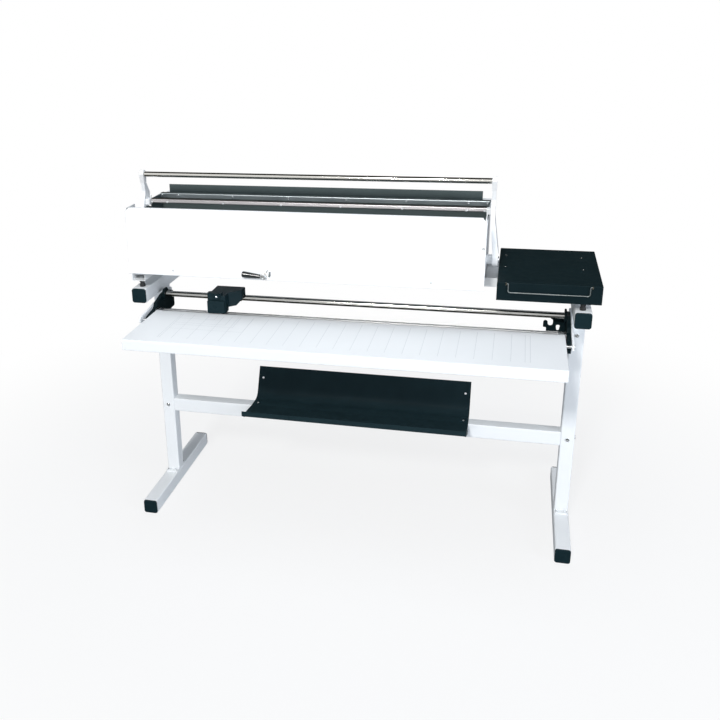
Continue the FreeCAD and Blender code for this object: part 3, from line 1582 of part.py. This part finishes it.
# Shelf: a shallow sheet box, open below, round the pan's right end
def paper_shelf():
    outer = prism("z", rectangle(shelf_left_x, shelf_right_x, shelf_front_y, shelf_back_reach,
                                 shelf_corner), base_z, shelf_top_z)
    rim = [edge for edge in outer.Edges if edge.BoundBox.ZMin > shelf_top_z - tiny]
    outer = outer.makeFillet(shelf_sheet, rim)
    inner = block(shelf_left_x + shelf_sheet, shelf_right_x - shelf_sheet,
                  shelf_front_y + shelf_sheet, shelf_back_reach - shelf_sheet,
                  base_z - overrun, shelf_top_z - shelf_sheet)
    shelf = outer.cut(inner)
    notch = block(shelf_left_x - overrun, shelf_left_x + overrun,
                  -pan_front_reach - shelf_notch_gap, pan_back_reach + shelf_notch_gap,
                  base_z - overrun, pan_top_z + shelf_notch_gap)
    shelf = drilled(shelf.cut(notch), shelf_screw_places())
    for place in shelf_screw_places():
        shelf = shelf.cut(countersink(place[2], place[3], shelf_top_z, running_gap))
    return shelf


# Wire bail that hangs in front of the shelf and turns up to hold the paper
def shelf_bail():
    low_z = bail_pivot_z - bail_drop
    tight = 2 * bail_wire_radius
    points = [(bail_left_x - bail_stub, bail_pivot_z, 0), (bail_left_x, bail_pivot_z, tight),
              (bail_left_x, low_z, bail_bend), (bail_right_x, low_z, bail_bend),
              (bail_right_x, bail_pivot_z, tight), (bail_right_x + bail_stub, bail_pivot_z, 0)]
    edges = []
    cursor = lift("y", points[0][0], points[0][1], bail_y)
    for index in range(1, len(points) - 1):
        start, middle, end = rounding(points[index - 1], points[index], points[index + 1])
        arc = [lift("y", point.x, point.y, bail_y) for point in (start, middle, end)]
        edges.append(Part.makeLine(cursor, arc[0]))
        edges.append(Part.Arc(*arc).toShape())
        cursor = arc[2]
    last = lift("y", points[-1][0], points[-1][1], bail_y)
    edges.append(Part.makeLine(cursor, last))
    first = lift("y", points[0][0], points[0][1], bail_y)
    section = Part.Wire([Part.makeCircle(bail_wire_radius, first, FreeCAD.Vector(1, 0, 0))])
    return Part.Wire(edges).makePipeShell([section], True, False)


# Clips on the shelf's front edge in which the bail's ends turn
def bail_clips():
    low_x = bail_left_x - bail_stub - clip_width / 4
    clip = block(low_x, low_x + clip_width, bail_y - clip_height / 2, shelf_front_y,
                 bail_pivot_z - clip_height / 2, bail_pivot_z + clip_height / 3)
    clip = clip.cut(rod("x", low_x - overrun, low_x + clip_width + overrun, bail_y, bail_pivot_z,
                        bail_wire_radius + running_gap))
    return both_sides(clip, (bail_left_x + bail_right_x) / 2)


# Every node of the machine, by name
def nodes():
    return {
        "foot_tubes": group([foot_tube(-1), foot_tube(1)]),
        "foot_end_caps": caps(tube_side / 2, foot_front_reach, foot_back_reach),
        "upright_base_plates": base_plates(),
        "uprights": group([upright(-1), upright(1)]),
        "crossbeam": crossbeam(),
        "frame_bolts": frame_bolts(),
        "support_arms": group([support_arm(-1), support_arm(1)]),
        "support_arm_caps": caps(upright_top_z + tube_side / 2, support_front_reach,
                                 support_back_reach),
        "table_frame": table_frame(),
        "table_top": table_top(),
        "blade_bed": blade_bed(),
        "fixed_blade": fixed_blade(),
        "blade_clamps": blade_clamps(),
        "guide_rail": guide_rail(),
        "rail_end_blocks": rail_end_blocks(),
        "end_brackets": group([end_bracket(-1), end_bracket(1)]),
        "table_studs": table_studs(),
        "hook_plate": hook_plate(),
        "cutter_head": cutter_head(),
        "rail_bushes": rail_bushes(),
        "cutter_guard": cutter_guard(),
        "blade_axle": blade_axle(),
        "head_knob": head_knob(),
        "cutter_blade": cutter_blade(),
        "catch_tray": catch_tray(),
        "tray_brackets": group([tray_straps(), tray_gussets()]),
        "rubber_feet": rubber_feet(),
        "base_rails": base_rails(),
        "base_pan": base_pan(),
        "left_side_plate": side_plate_shape(-1),
        "right_side_plate": side_plate_shape(1),
        "front_cover": front_cover(),
        "hopper_floor": hopper_floor(),
        "slot_front_plate": slot_front_plate(),
        "rear_profile": rear_profile(),
        "rear_cover": rear_cover(),
        "backing_board": backing_board(),
        "board_ledge": board_ledge(),
        "pivot_bosses": group([pivot_bosses(), pivot_washers()]),
        "pivot_pins": pivot_pins(),
        "left_swing_arm": swing_arm(-1),
        "right_swing_arm": swing_arm(1),
        "bar_knuckles": bar_knuckles(),
        "handle_bar": handle_bar(),
        "front_profile": front_profile(),
        "profile_end_links": profile_end_links(),
        "front_profile_screws": moving_screws(),
        "panel_screws": panel_screws(),
        "lever_plate": lever_plate(),
        "lever_bush": lever_bush(),
        "lever_hub": lever_hub(),
        "lever_grip": lever_grip(),
        "stop_cam": stop_cam(),
        "shaft_bearing": shaft_bearing(),
        "paper_stop": paper_stop(),
        "stop_guide_posts": stop_guide_posts(),
        "paper_shelf": paper_shelf(),
        "shelf_spacers": shelf_spacers(),
        "shelf_bail": shelf_bail(),
        "bail_clips": bail_clips(),
    }


os.makedirs("parts", exist_ok=True)
for name, shape in nodes().items():
    shape = shape.copy()
    shape.translate(FreeCAD.Vector(-middle_x, -middle_y, 0))
    shape.exportStep("parts/" + name + ".step")
    print(name, "solids", len(shape.Solids), "valid", shape.isValid())
print("origin offset", middle_x, middle_y)
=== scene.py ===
import math

import bmesh
import bpy
from mathutils import Matrix, Vector


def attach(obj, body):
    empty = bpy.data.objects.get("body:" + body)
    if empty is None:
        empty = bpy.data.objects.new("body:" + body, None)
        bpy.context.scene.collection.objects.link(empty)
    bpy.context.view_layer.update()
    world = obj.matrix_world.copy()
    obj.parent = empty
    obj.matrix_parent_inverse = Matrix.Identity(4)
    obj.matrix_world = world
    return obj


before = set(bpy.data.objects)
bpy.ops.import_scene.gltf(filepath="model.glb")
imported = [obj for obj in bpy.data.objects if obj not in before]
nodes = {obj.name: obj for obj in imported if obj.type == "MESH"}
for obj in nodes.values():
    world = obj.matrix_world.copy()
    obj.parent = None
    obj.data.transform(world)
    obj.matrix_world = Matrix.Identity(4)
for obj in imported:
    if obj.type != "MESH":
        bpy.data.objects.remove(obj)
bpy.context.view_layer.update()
print("frame loaded:", len(nodes), "nodes")

mm = 0.001
standOrigin = Vector((9.3, 81.5, 0)) * mm  # the uprights' centre line on the floor, in the frame
edgeSamples = 4  # rays of the soft edge on every finish
noiseSpan = (0.3, 0.7)  # the part of a noise's range that its values fill
noiseDetail = {"drift": 3.0, "wear": 4.0, "skin": 2.0, "streaks": 4.0, "haze": 3.0}
grindDepth = 0.05  # depth in mm of the lines on bare metal
mergeDistance = 1e-4  # mm


# sRGB hex to the linear colour that the nodes want
def colour(hexText):
    shares = [int(hexText[i:i + 2], 16) / 255 for i in (1, 3, 5)]
    linear = [s / 12.92 if s <= 0.04045 else ((s + 0.055) / 1.055) ** 2.4 for s in shares]
    return (*linear, 1.0)


# noise scale that gives features of this size in millimetres
def grain(size):
    return 1 / (size * mm)


def addNode(tree, kind, inputs=None, **settings):
    node = tree.nodes.new(kind)
    for name, value in settings.items():
        setattr(node, name, value)
    for name, value in (inputs or {}).items():
        if isinstance(value, bpy.types.NodeSocket):
            tree.links.new(value, node.inputs[name])
        else:
            node.inputs[name].default_value = value
    return node


def addNoise(tree, place, size, detail):
    noise = addNode(tree, "ShaderNodeTexNoise", {"Vector": place, "Scale": grain(size), "Detail": detail})
    return noise.outputs[0]


# a noise spread over the finish's two roughness values
def addPolish(tree, noise, rough):
    spread = addNode(tree, "ShaderNodeMapRange", {
        "Value": noise, "From Min": noiseSpan[0], "From Max": noiseSpan[1],
        "To Min": rough[0], "To Max": rough[1]})
    return spread.outputs[0]


# 1 for rays from the camera or from a mirror, 0 for the light that falls on the machine
def seenDirectly(tree):
    rays = addNode(tree, "ShaderNodeLightPath")
    seen = addNode(tree, "ShaderNodeMath", {
        0: rays.outputs["Is Camera Ray"], 1: rays.outputs["Is Glossy Ray"]}, operation="ADD", use_clamp=True)
    return seen.outputs[0]


# two colours mixed by a factor socket
def mixColours(tree, factor, low, high):
    node = addNode(tree, "ShaderNodeMix", data_type="RGBA")
    tree.links.new(factor, node.inputs[0])
    node.inputs[6].default_value = colour(low)
    node.inputs[7].default_value = colour(high)
    return node.outputs[2]


def startMaterial(name):
    material = bpy.data.materials.new(name)
    material.use_nodes = True
    tree = material.node_tree
    tree.nodes.clear()
    shader = addNode(tree, "ShaderNodeBsdfPrincipled")
    addNode(tree, "ShaderNodeOutputMaterial", {"Surface": shader.outputs[0]})
    place = addNode(tree, "ShaderNodeTexCoord").outputs["Object"]
    return material, tree, shader, place


# painted shade: a dark colour on what faces the inside of the case, between the two end plates, for the shade
# in the hopper
def paintedShadeInside(tree, place, tone, insideShade):
    split = addNode(tree, "ShaderNodeSeparateXYZ", {"Vector": place})
    middle = (insideShade["left"] + insideShade["right"]) / 2 * mm
    reach = (insideShade["right"] - insideShade["left"]) / 2 * mm
    front = insideShade["front"] * mm
    between = addNode(tree, "ShaderNodeMath", {0: split.outputs[0], 1: middle, 2: reach}, operation="COMPARE")
    behind = addNode(tree, "ShaderNodeMath", {0: split.outputs[1], 1: front}, operation="GREATER_THAN")
    inside = addNode(tree, "ShaderNodeMath", {
        0: between.outputs[0], 1: behind.outputs[0]}, operation="MULTIPLY")
    mix = addNode(tree, "ShaderNodeMix", {"Factor": inside.outputs[0]}, data_type="RGBA")
    tree.links.new(tone, mix.inputs[6])
    mix.inputs[7].default_value = colour(insideShade["tone"])
    return mix.outputs[2]


# Paint on metal. Tone drifts a little over large areas, skin is the orange peel, and the
# polish drifts where hands and cloths have been.
def paintFinish(name, look):
    material, tree, shader, place = startMaterial(name)
    drift = addNoise(tree, place, look["driftSize"], noiseDetail["drift"])
    tone = mixColours(tree, drift, look["low"], look["high"])
    if "insideShade" in look:
        tone = paintedShadeInside(tree, place, tone, look["insideShade"])
    tree.links.new(tone, shader.inputs["Base Color"])
    shader.inputs["Specular IOR Level"].default_value = look.get("specular", 0.5)
    wear = addNoise(tree, place, look["wearSize"], noiseDetail["wear"])
    tree.links.new(addPolish(tree, wear, look["rough"]), shader.inputs["Roughness"])
    skin = addNoise(tree, place, look["skinSize"], noiseDetail["skin"])
    edge = addNode(tree, "ShaderNodeBevel", {"Radius": look["edge"] * mm}, samples=edgeSamples)
    bump = addNode(tree, "ShaderNodeBump", {
        "Height": skin, "Strength": look["skin"], "Distance": look["skinDepth"] * mm,
        "Normal": edge.outputs[0]})
    tree.links.new(bump.outputs[0], shader.inputs["Normal"])
    return material


finishes = {
    # polyester powder coat on steel tube, sprayed and baked: satin, with a soft orange peel
    "standPowderCoat": paintFinish("powder coated steel tube", {
        "low": "#EDF1F4", "high": "#F4F7F9", "driftSize": 260, "rough": (0.34, 0.46), "wearSize": 45,
        "skinSize": 3.5, "skin": 0.25, "skinDepth": 0.08, "edge": 1.2}),
    # stove enamel on folded sheet steel: smooth and a little glossier than the stand
    "whiteEnamel": paintFinish("white stove enamel on sheet steel", {
        "low": "#F0F3F5", "high": "#F7F9FA", "driftSize": 320, "rough": (0.28, 0.38), "wearSize": 60,
        "skinSize": 5, "skin": 0.15, "skinDepth": 0.06, "edge": 1.0}),
    # the case's end plates: the same enamel outside, and painted shade inside: a dull dark colour for the
    # shade in the hopper
    "enamelWithPaintedShadeInside": paintFinish("white stove enamel, painted shade inside", {
        "low": "#F0F3F5", "high": "#F7F9FA", "driftSize": 320, "rough": (0.3, 0.4), "wearSize": 60,
        "skinSize": 5, "skin": 0.15, "skinDepth": 0.06, "edge": 1.0,
        "insideShade": {"left": -738.6, "right": 432.2, "front": 30.0, "tone": "#39464A"}}),
    # black epoxy powder coat with a fine texture: small dull speckle, no clear reflections
    "blackPowderCoat": paintFinish("fine textured black powder coat", {
        "low": "#0D1B1F", "high": "#132226", "driftSize": 90, "rough": (0.34, 0.44), "wearSize": 30,
        "skinSize": 1.6, "skin": 0.4, "skinDepth": 0.1, "edge": 1.0, "specular": 0.06}),
    # the same coat on the tray, a little greyer and duller
    "greyerPowderCoat": paintFinish("greyer black powder coat", {
        "low": "#1A2A2F", "high": "#223439", "driftSize": 90, "rough": (0.4, 0.5), "wearSize": 30,
        "skinSize": 1.6, "skin": 0.4, "skinDepth": 0.1, "edge": 1.0, "specular": 0.06}),
    # dull dark paint on the sheet steel back board: hardly any highlight; on the hopper floor the same dark
    # colour is painted shade, for the shade in the hopper
    "darkBoardPaintAndHopperShade": paintFinish("matt dark grey-green board paint", {
        "low": "#3F4B4C", "high": "#4A5758", "driftSize": 170, "rough": (0.55, 0.7), "wearSize": 40,
        "skinSize": 2.5, "skin": 0.3, "skinDepth": 0.08, "edge": 0.8}),
    # melamine laminate pressed on board: pale, even, with a fine pressed grain
    "paleLaminate": paintFinish("pale melamine laminate", {
        "low": "#E4E8EA", "high": "#EBEEF0", "driftSize": 210, "rough": (0.36, 0.46), "wearSize": 70,
        "skinSize": 1.5, "skin": 0.3, "skinDepth": 0.05, "edge": 0.6}),
    # grey screen ink printed on the laminate, slightly broken along its length
    "printedGrey": paintFinish("grey screen printing ink", {
        "low": "#C0C6CA", "high": "#CDD2D5", "driftSize": 25, "rough": (0.5, 0.6), "wearSize": 9,
        "skinSize": 1, "skin": 0.1, "skinDepth": 0.02, "edge": 0.1}),
    # black screen ink of the lever's printed pointer mark, flat and thin; the same flat black on the tall
    # tapered mark is painted shade, for the shade in the lever's slot
    "markBlackAndSlotShade": paintFinish("black printing ink and painted slot shade", {
        "low": "#3A4444", "high": "#465050", "driftSize": 8, "rough": (0.5, 0.6), "wearSize": 5,
        "skinSize": 1, "skin": 0.1, "skinDepth": 0.02, "edge": 0.1}),
    # injection moulded ABS, spark eroded mould: even colour and a fine leathery grain
    "mouldedWhite": paintFinish("moulded white ABS", {
        "low": "#EFF1F2", "high": "#F5F6F7", "driftSize": 60, "rough": (0.34, 0.42), "wearSize": 25,
        "skinSize": 1.2, "skin": 0.3, "skinDepth": 0.05, "edge": 0.8}),
    "mouldedBlack": paintFinish("moulded black ABS", {
        "low": "#122429", "high": "#182B31", "driftSize": 60, "rough": (0.26, 0.36), "wearSize": 25,
        "skinSize": 1.2, "skin": 0.4, "skinDepth": 0.06, "edge": 0.8, "specular": 0.1}),
    # polished black phenolic grip: a sharp bright line along it
    "polishedGrip": paintFinish("polished black phenolic", {
        "low": "#0D1215", "high": "#12191D", "driftSize": 50, "rough": (0.12, 0.2), "wearSize": 20,
        "skinSize": 6, "skin": 0.08, "skinDepth": 0.03, "edge": 0.6}),
    # cured nitrile rubber: dull, dusty grey-black
    "blackRubber": paintFinish("black nitrile rubber", {
        "low": "#1C1D1E", "high": "#2A2B2C", "driftSize": 12, "rough": (0.7, 0.85), "wearSize": 8,
        "skinSize": 1, "skin": 0.4, "skinDepth": 0.06, "edge": 0.6}),
}


# Bare or plated metal. The streaks run along one axis: die lines, grinding or turning marks.
def metalFinish(name, look):
    material, tree, shader, place = startMaterial(name)
    shader.inputs["Metallic"].default_value = 1.0
    stretched = addNode(tree, "ShaderNodeMapping", {"Vector": place, "Scale": look["stretch"]})
    streaks = addNoise(tree, stretched.outputs[0], look["streakSize"], noiseDetail["streaks"])
    tone = mixColours(tree, streaks, look["low"], look["high"])
    tree.links.new(tone, shader.inputs["Base Color"])
    haze = addNoise(tree, place, look["wearSize"], noiseDetail["haze"])
    tree.links.new(addPolish(tree, haze, look["rough"]), shader.inputs["Roughness"])
    edge = addNode(tree, "ShaderNodeBevel", {"Radius": look["edge"] * mm}, samples=edgeSamples)
    bump = addNode(tree, "ShaderNodeBump", {
        "Height": streaks, "Strength": look["depth"], "Distance": grindDepth * mm,
        "Normal": edge.outputs[0]})
    tree.links.new(bump.outputs[0], shader.inputs["Normal"])
    return material


finishes.update({
    # extruded aluminium, clear anodised: silky, with long die lines
    "anodisedAluminium": metalFinish("clear anodised aluminium extrusion", {
        "low": "#DCDDDF", "high": "#E6E7E8", "stretch": (0.01, 1, 1), "streakSize": 2, "rough": (0.3, 0.38),
        "wearSize": 60, "depth": 0.1, "edge": 0.6}),
    # the profile on the handle has a greyer coat than the bed, and the same die lines
    "satinAnodised": metalFinish("satin anodised aluminium extrusion", {
        "low": "#B2B0B2", "high": "#BDBBBD", "stretch": (0.01, 1, 1), "streakSize": 2, "rough": (0.3, 0.38),
        "wearSize": 60, "depth": 0.1, "edge": 0.6}),
    # painted shade: the same extrusion with a darker base colour, so the fixed profile reads as the dark band
    # that its shade and dark reflections give
    "shadeDarkenedAnodised": metalFinish("anodised aluminium darkened for painted shade", {
        "low": "#AEB7BB", "high": "#B9C2C6", "stretch": (0.01, 1, 1), "streakSize": 2, "rough": (0.32, 0.4),
        "wearSize": 60, "depth": 0.1, "edge": 0.6}),
    # bright chrome plate on polished tube: mirror-like, hazed a little by handling
    "chromePlate": metalFinish("bright chrome plate", {
        "low": "#D3D2CC", "high": "#DCDBD6", "stretch": (0.2, 1, 1), "streakSize": 40, "rough": (0.07, 0.11),
        "wearSize": 90, "depth": 0.0, "edge": 0.3}),
    # ground and hardened shaft: bright as the plate but greyer, its glints a little softer
    "groundShaft": metalFinish("ground hardened steel shaft", {
        "low": "#A9A9A6", "high": "#B4B4B1", "stretch": (0.2, 1, 1), "streakSize": 12, "rough": (0.1, 0.15),
        "wearSize": 70, "depth": 0.0, "edge": 0.3}),
    # ground tool steel: fine lines along the edge, colder and darker than the plate
    "groundSteel": metalFinish("ground tool steel", {
        "low": "#8F9498", "high": "#B3B7BA", "stretch": (0.03, 1, 1), "streakSize": 1.5,
        "rough": (0.22, 0.34), "wearSize": 30, "depth": 0.2, "edge": 0.3}),
    # bright zinc plate on screws and pins: pale, slightly cloudy
    "zincPlate": metalFinish("bright zinc plated steel", {
        "low": "#D9DDE0", "high": "#ECEEF0", "stretch": (1, 1, 1), "streakSize": 4, "rough": (0.2, 0.32),
        "wearSize": 6, "depth": 0.1, "edge": 0.3}),
    # galvanised wire: grey and dull, hardly a glint
    "drawnWire": metalFinish("dull galvanised wire", {
        "low": "#7C8485", "high": "#949B9C", "stretch": (0.2, 1, 1), "streakSize": 3, "rough": (0.3, 0.42),
        "wearSize": 8, "depth": 0.1, "edge": 0.2}),
    # turned bearing bronze: warm, with fine turning marks
    "bearingBronze": metalFinish("turned bearing bronze", {
        "low": "#A3824A", "high": "#C9A768", "stretch": (1, 0.1, 1), "streakSize": 1.5, "rough": (0.25, 0.36),
        "wearSize": 10, "depth": 0.15, "edge": 0.3}),
})

wornBy = {
    "standPowderCoat": ["foot_tubes", "upright_base_plates", "uprights", "crossbeam", "support_arms",
                        "table_frame"],
    "enamelWithPaintedShadeInside": ["left_side_plate", "right_side_plate"],
    "whiteEnamel": ["base_rails", "base_pan", "front_cover",
                    "left_swing_arm", "right_swing_arm", "profile_end_links", "pivot_bosses",
                    "lever_plate", "rear_cover"],
    "paleLaminate": ["table_top"],
    "blackPowderCoat": ["end_brackets", "rail_end_blocks", "hook_plate", "paper_shelf", "board_ledge"],
    "greyerPowderCoat": ["catch_tray", "tray_brackets"],
    # the hopper floor wears this dark paint as painted shade, for the shade inside the hopper
    "darkBoardPaintAndHopperShade": ["backing_board", "slot_front_plate", "paper_stop", "hopper_floor"],
    "mouldedBlack": ["foot_end_caps", "support_arm_caps", "cutter_guard", "head_knob", "cutter_head"],
    "polishedGrip": ["lever_grip"],
    "mouldedWhite": ["bar_knuckles"],
    "blackRubber": ["rubber_feet"],
    "anodisedAluminium": ["blade_bed"],
    "satinAnodised": ["front_profile"],
    "shadeDarkenedAnodised": ["rear_profile"],
    "chromePlate": ["handle_bar", "bail_clips"],
    "groundShaft": ["guide_rail"],
    "groundSteel": ["fixed_blade", "cutter_blade", "blade_clamps", "blade_axle", "stop_guide_posts",
                    "stop_cam"],
    "zincPlate": ["frame_bolts", "table_studs", "pivot_pins", "front_profile_screws", "panel_screws",
                  "shelf_spacers", "lever_hub"],
    "drawnWire": ["shelf_bail"],
    "bearingBronze": ["rail_bushes", "lever_bush", "shaft_bearing"],
}


# a CAD node keeps its mesh and only gets the finish in its slots
def dressNode(name, finish):
    node = nodes[name]
    if not node.material_slots:
        node.data.materials.append(finishes[finish])
    for slot in node.material_slots:
        slot.material = finishes[finish]


for finish, wearers in wornBy.items():
    for wearer in wearers:
        dressNode(wearer, finish)
print("finishes given, nodes left over:", sorted(set(nodes) - set(sum(wornBy.values(), []))))


# new pieces are built in the stand's millimetres and moved to the frame at the end
def finishPiece(name, mesh, body, finish):
    bmesh.ops.remove_doubles(mesh, verts=mesh.verts, dist=mergeDistance)
    bmesh.ops.recalc_face_normals(mesh, faces=mesh.faces)
    bmesh.ops.scale(mesh, vec=(mm, mm, mm), verts=mesh.verts)
    bmesh.ops.translate(mesh, vec=standOrigin, verts=mesh.verts)
    data = bpy.data.meshes.new(name)
    mesh.to_mesh(data)
    mesh.free()
    data.materials.append(finishes[finish])
    piece = bpy.data.objects.new(name, data)
    bpy.context.scene.collection.objects.link(piece)
    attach(piece, body)
    return piece


# printed lines on the trimmer table, each a flat strip just over the laminate
ruling = {
    "height": 759.06, "lift": 0.02, "width": 1.0, "front": -412.0, "back": -192.0,
    "first": -525.0, "spacing": 52.1, "count": 21, "ends": (-573.0, -566.0, 557.0, 572.0),
    # nested sheet outlines at the left: far side X, near edge Y
    "corner": -566.0, "sheets": ((-444.0, -229.0), (-392.0, -271.0), (-361.0, -289.0), (-317.0, -326.0)),
}


def addStrip(mesh, x1, y1, x2, y2, width, height):
    middle = Vector(((x1 + x2) / 2, (y1 + y2) / 2, height))
    size = Vector((abs(x2 - x1) + width, abs(y2 - y1) + width, 1))
    place = Matrix.Translation(middle) @ Matrix.Diagonal((*size, 1))
    bmesh.ops.create_grid(mesh, x_segments=1, y_segments=1, size=0.5, matrix=place)


def tableRuling(look):
    mesh = bmesh.new()
    stations = [look["first"] + look["spacing"] * i for i in range(look["count"])]
    for x in (*stations, *look["ends"]):
        addStrip(mesh, x, look["front"], x, look["back"], look["width"], look["height"])
    for x, y in look["sheets"]:
        addStrip(mesh, look["corner"], y, x, y, look["width"], look["height"] + look["lift"])
        addStrip(mesh, x, y, x, look["back"], look["width"], look["height"] + look["lift"] * 2)
    return finishPiece("tableRuling", mesh, "stand", "printedGrey")


tableRuling(ruling)
print("table ruling printed")


# marks beside the lever, on the sheet that leans with the cover's foot: the small pointer mark is printed,
# the tall tapered one is painted shade for the lever's slot
leverMarkAndSlotShadeLayout = {
    "face": (-199.0, 896.0), "bend": (-185.0, 955.0), "clear": 2.15,
    # each mark: left and right at its foot, left and right at its head, foot and head heights
    # the first mark is painted shade for the lever's slot, the second is the printed pointer mark
    "marks": ((-259.7, -254.9, -258.5, -254.9, 906.8, 924.0), (-268.8, -265.2, -264.6, -262.0, 921.0, 928.6)),
}


def leverMarksAndSlotShade(look):
    mesh = bmesh.new()
    (lowY, lowZ), (highY, highZ) = look["face"], look["bend"]
    lean = Vector((0, highY - lowY, highZ - lowZ)).normalized()
    outward = Vector((0, -lean.z, lean.y))
    for footLeft, footRight, headLeft, headRight, footZ, headZ in look["marks"]:
        grid = bmesh.ops.create_grid(mesh, x_segments=1, y_segments=1, size=0.5)["verts"]
        for corner in grid:
            top = corner.co.y > 0
            left, right = (headLeft, headRight) if top else (footLeft, footRight)
            z = headZ if top else footZ
            y = lowY + (z - lowZ) * (highY - lowY) / (highZ - lowZ)
            corner.co = Vector((right if corner.co.x > 0 else left, y, z)) + outward * look["clear"]
    return finishPiece("leverMarksAndSlotShade", mesh, "stand", "markBlackAndSlotShade")


leverMarksAndSlotShade(leverMarkAndSlotShadeLayout)

# dome headed screw that holds the knob on its stem
knobScrew = {"place": (-451.0, -176.0, 822.0), "radius": 3.4, "bulge": 0.45, "segments": 20, "rings": 10}


def knobDome(look):
    mesh = bmesh.new()
    bmesh.ops.create_uvsphere(
        mesh, u_segments=look["segments"], v_segments=look["rings"], radius=look["radius"])
    bmesh.ops.scale(mesh, vec=(1, look["bulge"], 1), verts=mesh.verts)
    bmesh.ops.translate(mesh, vec=look["place"], verts=mesh.verts)
    piece = finishPiece("knobScrew", mesh, "cutter", "zincPlate")
    for face in piece.data.polygons:
        face.use_smooth = True
    return piece


knobDome(knobScrew)
print("lever marks and knob screw added")


studio = {
    "floor": "#DCDFE2", "floorRough": 0.9, "floorSize": 14.0,
    # the share of plain white in what the camera sees of the floor, from near to far in metres
    "clearFrom": 0.9, "clearTo": 2.4, "near": 0.8,
    "sky": "#E9EEF4", "skyStrength": 0.3,
    # name: place, size, watts; each looks at the middle of the machine
    "lamps": {
        "keyPanel": ((-0.9, -7.6, 6.0), 1.1, 485, "#FFFDFA"),
        "roofPanel": ((0.0, -0.7, 4.4), 2.4, 66, "#F4F8FF"),
        "fillPanel": ((4.4, -2.6, 1.9), 2.4, 108, "#EFF5FF"),
    },
    "aim": (0.0, 0.0, 0.75),
    # dark cards that only reflections see, so the chrome gets its dark lines
    "cards": {
        "rearCard": ((0.0, 3.2, 2.3), 90, (9.0, 4.6)),
        "roofCard": ((0.0, 0.8, 4.6), 0, (9.0, 4.8)),
        "floorCard": ((0.0, 0.0, 0.001), 0, (9.0, 8.0)),
    },
    "cardTone": "#3B3A31", "cardRough": 1.0,
}


def layFloor(look):
    mesh = bmesh.new()
    bmesh.ops.create_grid(mesh, x_segments=1, y_segments=1, size=look["floorSize"])
    data = bpy.data.meshes.new("studioFloor")
    mesh.to_mesh(data)
    mesh.free()
    floor = bpy.data.objects.new("studioFloor", data)
    bpy.context.scene.collection.objects.link(floor)
    material, tree, shader, place = startMaterial("pale seamless paper")
    shader.inputs["Base Color"].default_value = colour(look["floor"])
    shader.inputs["Roughness"].default_value = look["floorRough"]
    away = addNode(tree, "ShaderNodeVectorMath", {0: place}, operation="LENGTH")
    clear = addNode(tree, "ShaderNodeMapRange", {
        "Value": away.outputs["Value"], "From Min": look["clearFrom"], "From Max": look["clearTo"],
        "To Min": look["near"], "To Max": 1.0}, interpolation_type="SMOOTHSTEP")
    seen = seenDirectly(tree)
    share = addNode(tree, "ShaderNodeMath", {0: seen, 1: clear.outputs[0]}, operation="MULTIPLY")
    white = addNode(tree, "ShaderNodeEmission", {"Color": (1, 1, 1, 1), "Strength": 1.0})
    mixed = addNode(tree, "ShaderNodeMixShader", {
        0: share.outputs[0], 1: shader.outputs[0], 2: white.outputs[0]})
    output = [n for n in tree.nodes if n.type == "OUTPUT_MATERIAL"][0]
    tree.links.new(mixed.outputs[0], output.inputs["Surface"])
    data.materials.append(material)


def hangLamps(look):
    for name, (place, size, watts, tint) in look["lamps"].items():
        lamp = bpy.data.lights.new(name, "AREA")
        lamp.shape = "SQUARE"
        lamp.size = size
        lamp.energy = watts
        lamp.color = colour(tint)[:3]
        holder = bpy.data.objects.new(name, lamp)
        bpy.context.scene.collection.objects.link(holder)
        holder.location = place
        holder.rotation_euler = (Vector(look["aim"]) - holder.location).to_track_quat("-Z", "Y").to_euler()
        holder.visible_glossy = name != "roofPanel"  # no extra line in the chrome


def standCards(look):
    material, tree, shader, place = startMaterial("black felt card")
    shader.inputs["Base Color"].default_value = colour(look["cardTone"])
    shader.inputs["Roughness"].default_value = look["cardRough"]
    for name, (place, turn, (width, height)) in look["cards"].items():
        mesh = bmesh.new()
        stand = Matrix.Translation(place) @ Matrix.Rotation(math.radians(turn), 4, "X")
        bmesh.ops.create_grid(mesh, x_segments=1, y_segments=1, size=0.5,
                              matrix=stand @ Matrix.Diagonal((width, height, 1, 1)))
        data = bpy.data.meshes.new(name)
        mesh.to_mesh(data)
        mesh.free()
        data.materials.append(material)
        card = bpy.data.objects.new(name, data)
        bpy.context.scene.collection.objects.link(card)
        card.visible_camera = card.visible_diffuse = card.visible_shadow = False


def paintWorld(look):
    world = bpy.data.worlds.new("studio world")
    bpy.context.scene.world = world
    world.use_nodes = True
    tree = world.node_tree
    tree.nodes.clear()
    sky = addNode(tree, "ShaderNodeBackground", {
        "Color": colour(look["sky"]), "Strength": look["skyStrength"]})
    white = addNode(tree, "ShaderNodeBackground", {"Color": (1, 1, 1, 1), "Strength": 1.0})
    mixed = addNode(tree, "ShaderNodeMixShader", {
        0: seenDirectly(tree), 1: sky.outputs[0], 2: white.outputs[0]})
    addNode(tree, "ShaderNodeOutputWorld", {"Surface": mixed.outputs[0]})


def placeCamera():
    view = {
        "place": (0.50977, -2.73104, 1.73971), "turn": 0.2669, "dip": 0.3532, "roll": -0.0307,
        "lens": 43.691, "shift": (0.10657, -0.04689),
    }
    eye = bpy.data.cameras.new("photoCamera")
    eye.sensor_width = 36
    eye.lens = view["lens"]
    eye.shift_x, eye.shift_y = view["shift"]
    holder = bpy.data.objects.new("photoCamera", eye)
    bpy.context.scene.collection.objects.link(holder)
    turned = Matrix.Rotation(view["turn"], 4, "Z") @ Matrix.Rotation(math.pi / 2 - view["dip"], 4, "X")
    holder.matrix_world = Matrix.Translation(view["place"]) @ turned @ Matrix.Rotation(view["roll"], 4, "Z")
    bpy.context.scene.camera = holder


layFloor(studio)
standCards(studio)
hangLamps(studio)
paintWorld(studio)
placeCamera()
bpy.context.scene.view_settings.view_transform = "Standard"
print("studio ready")
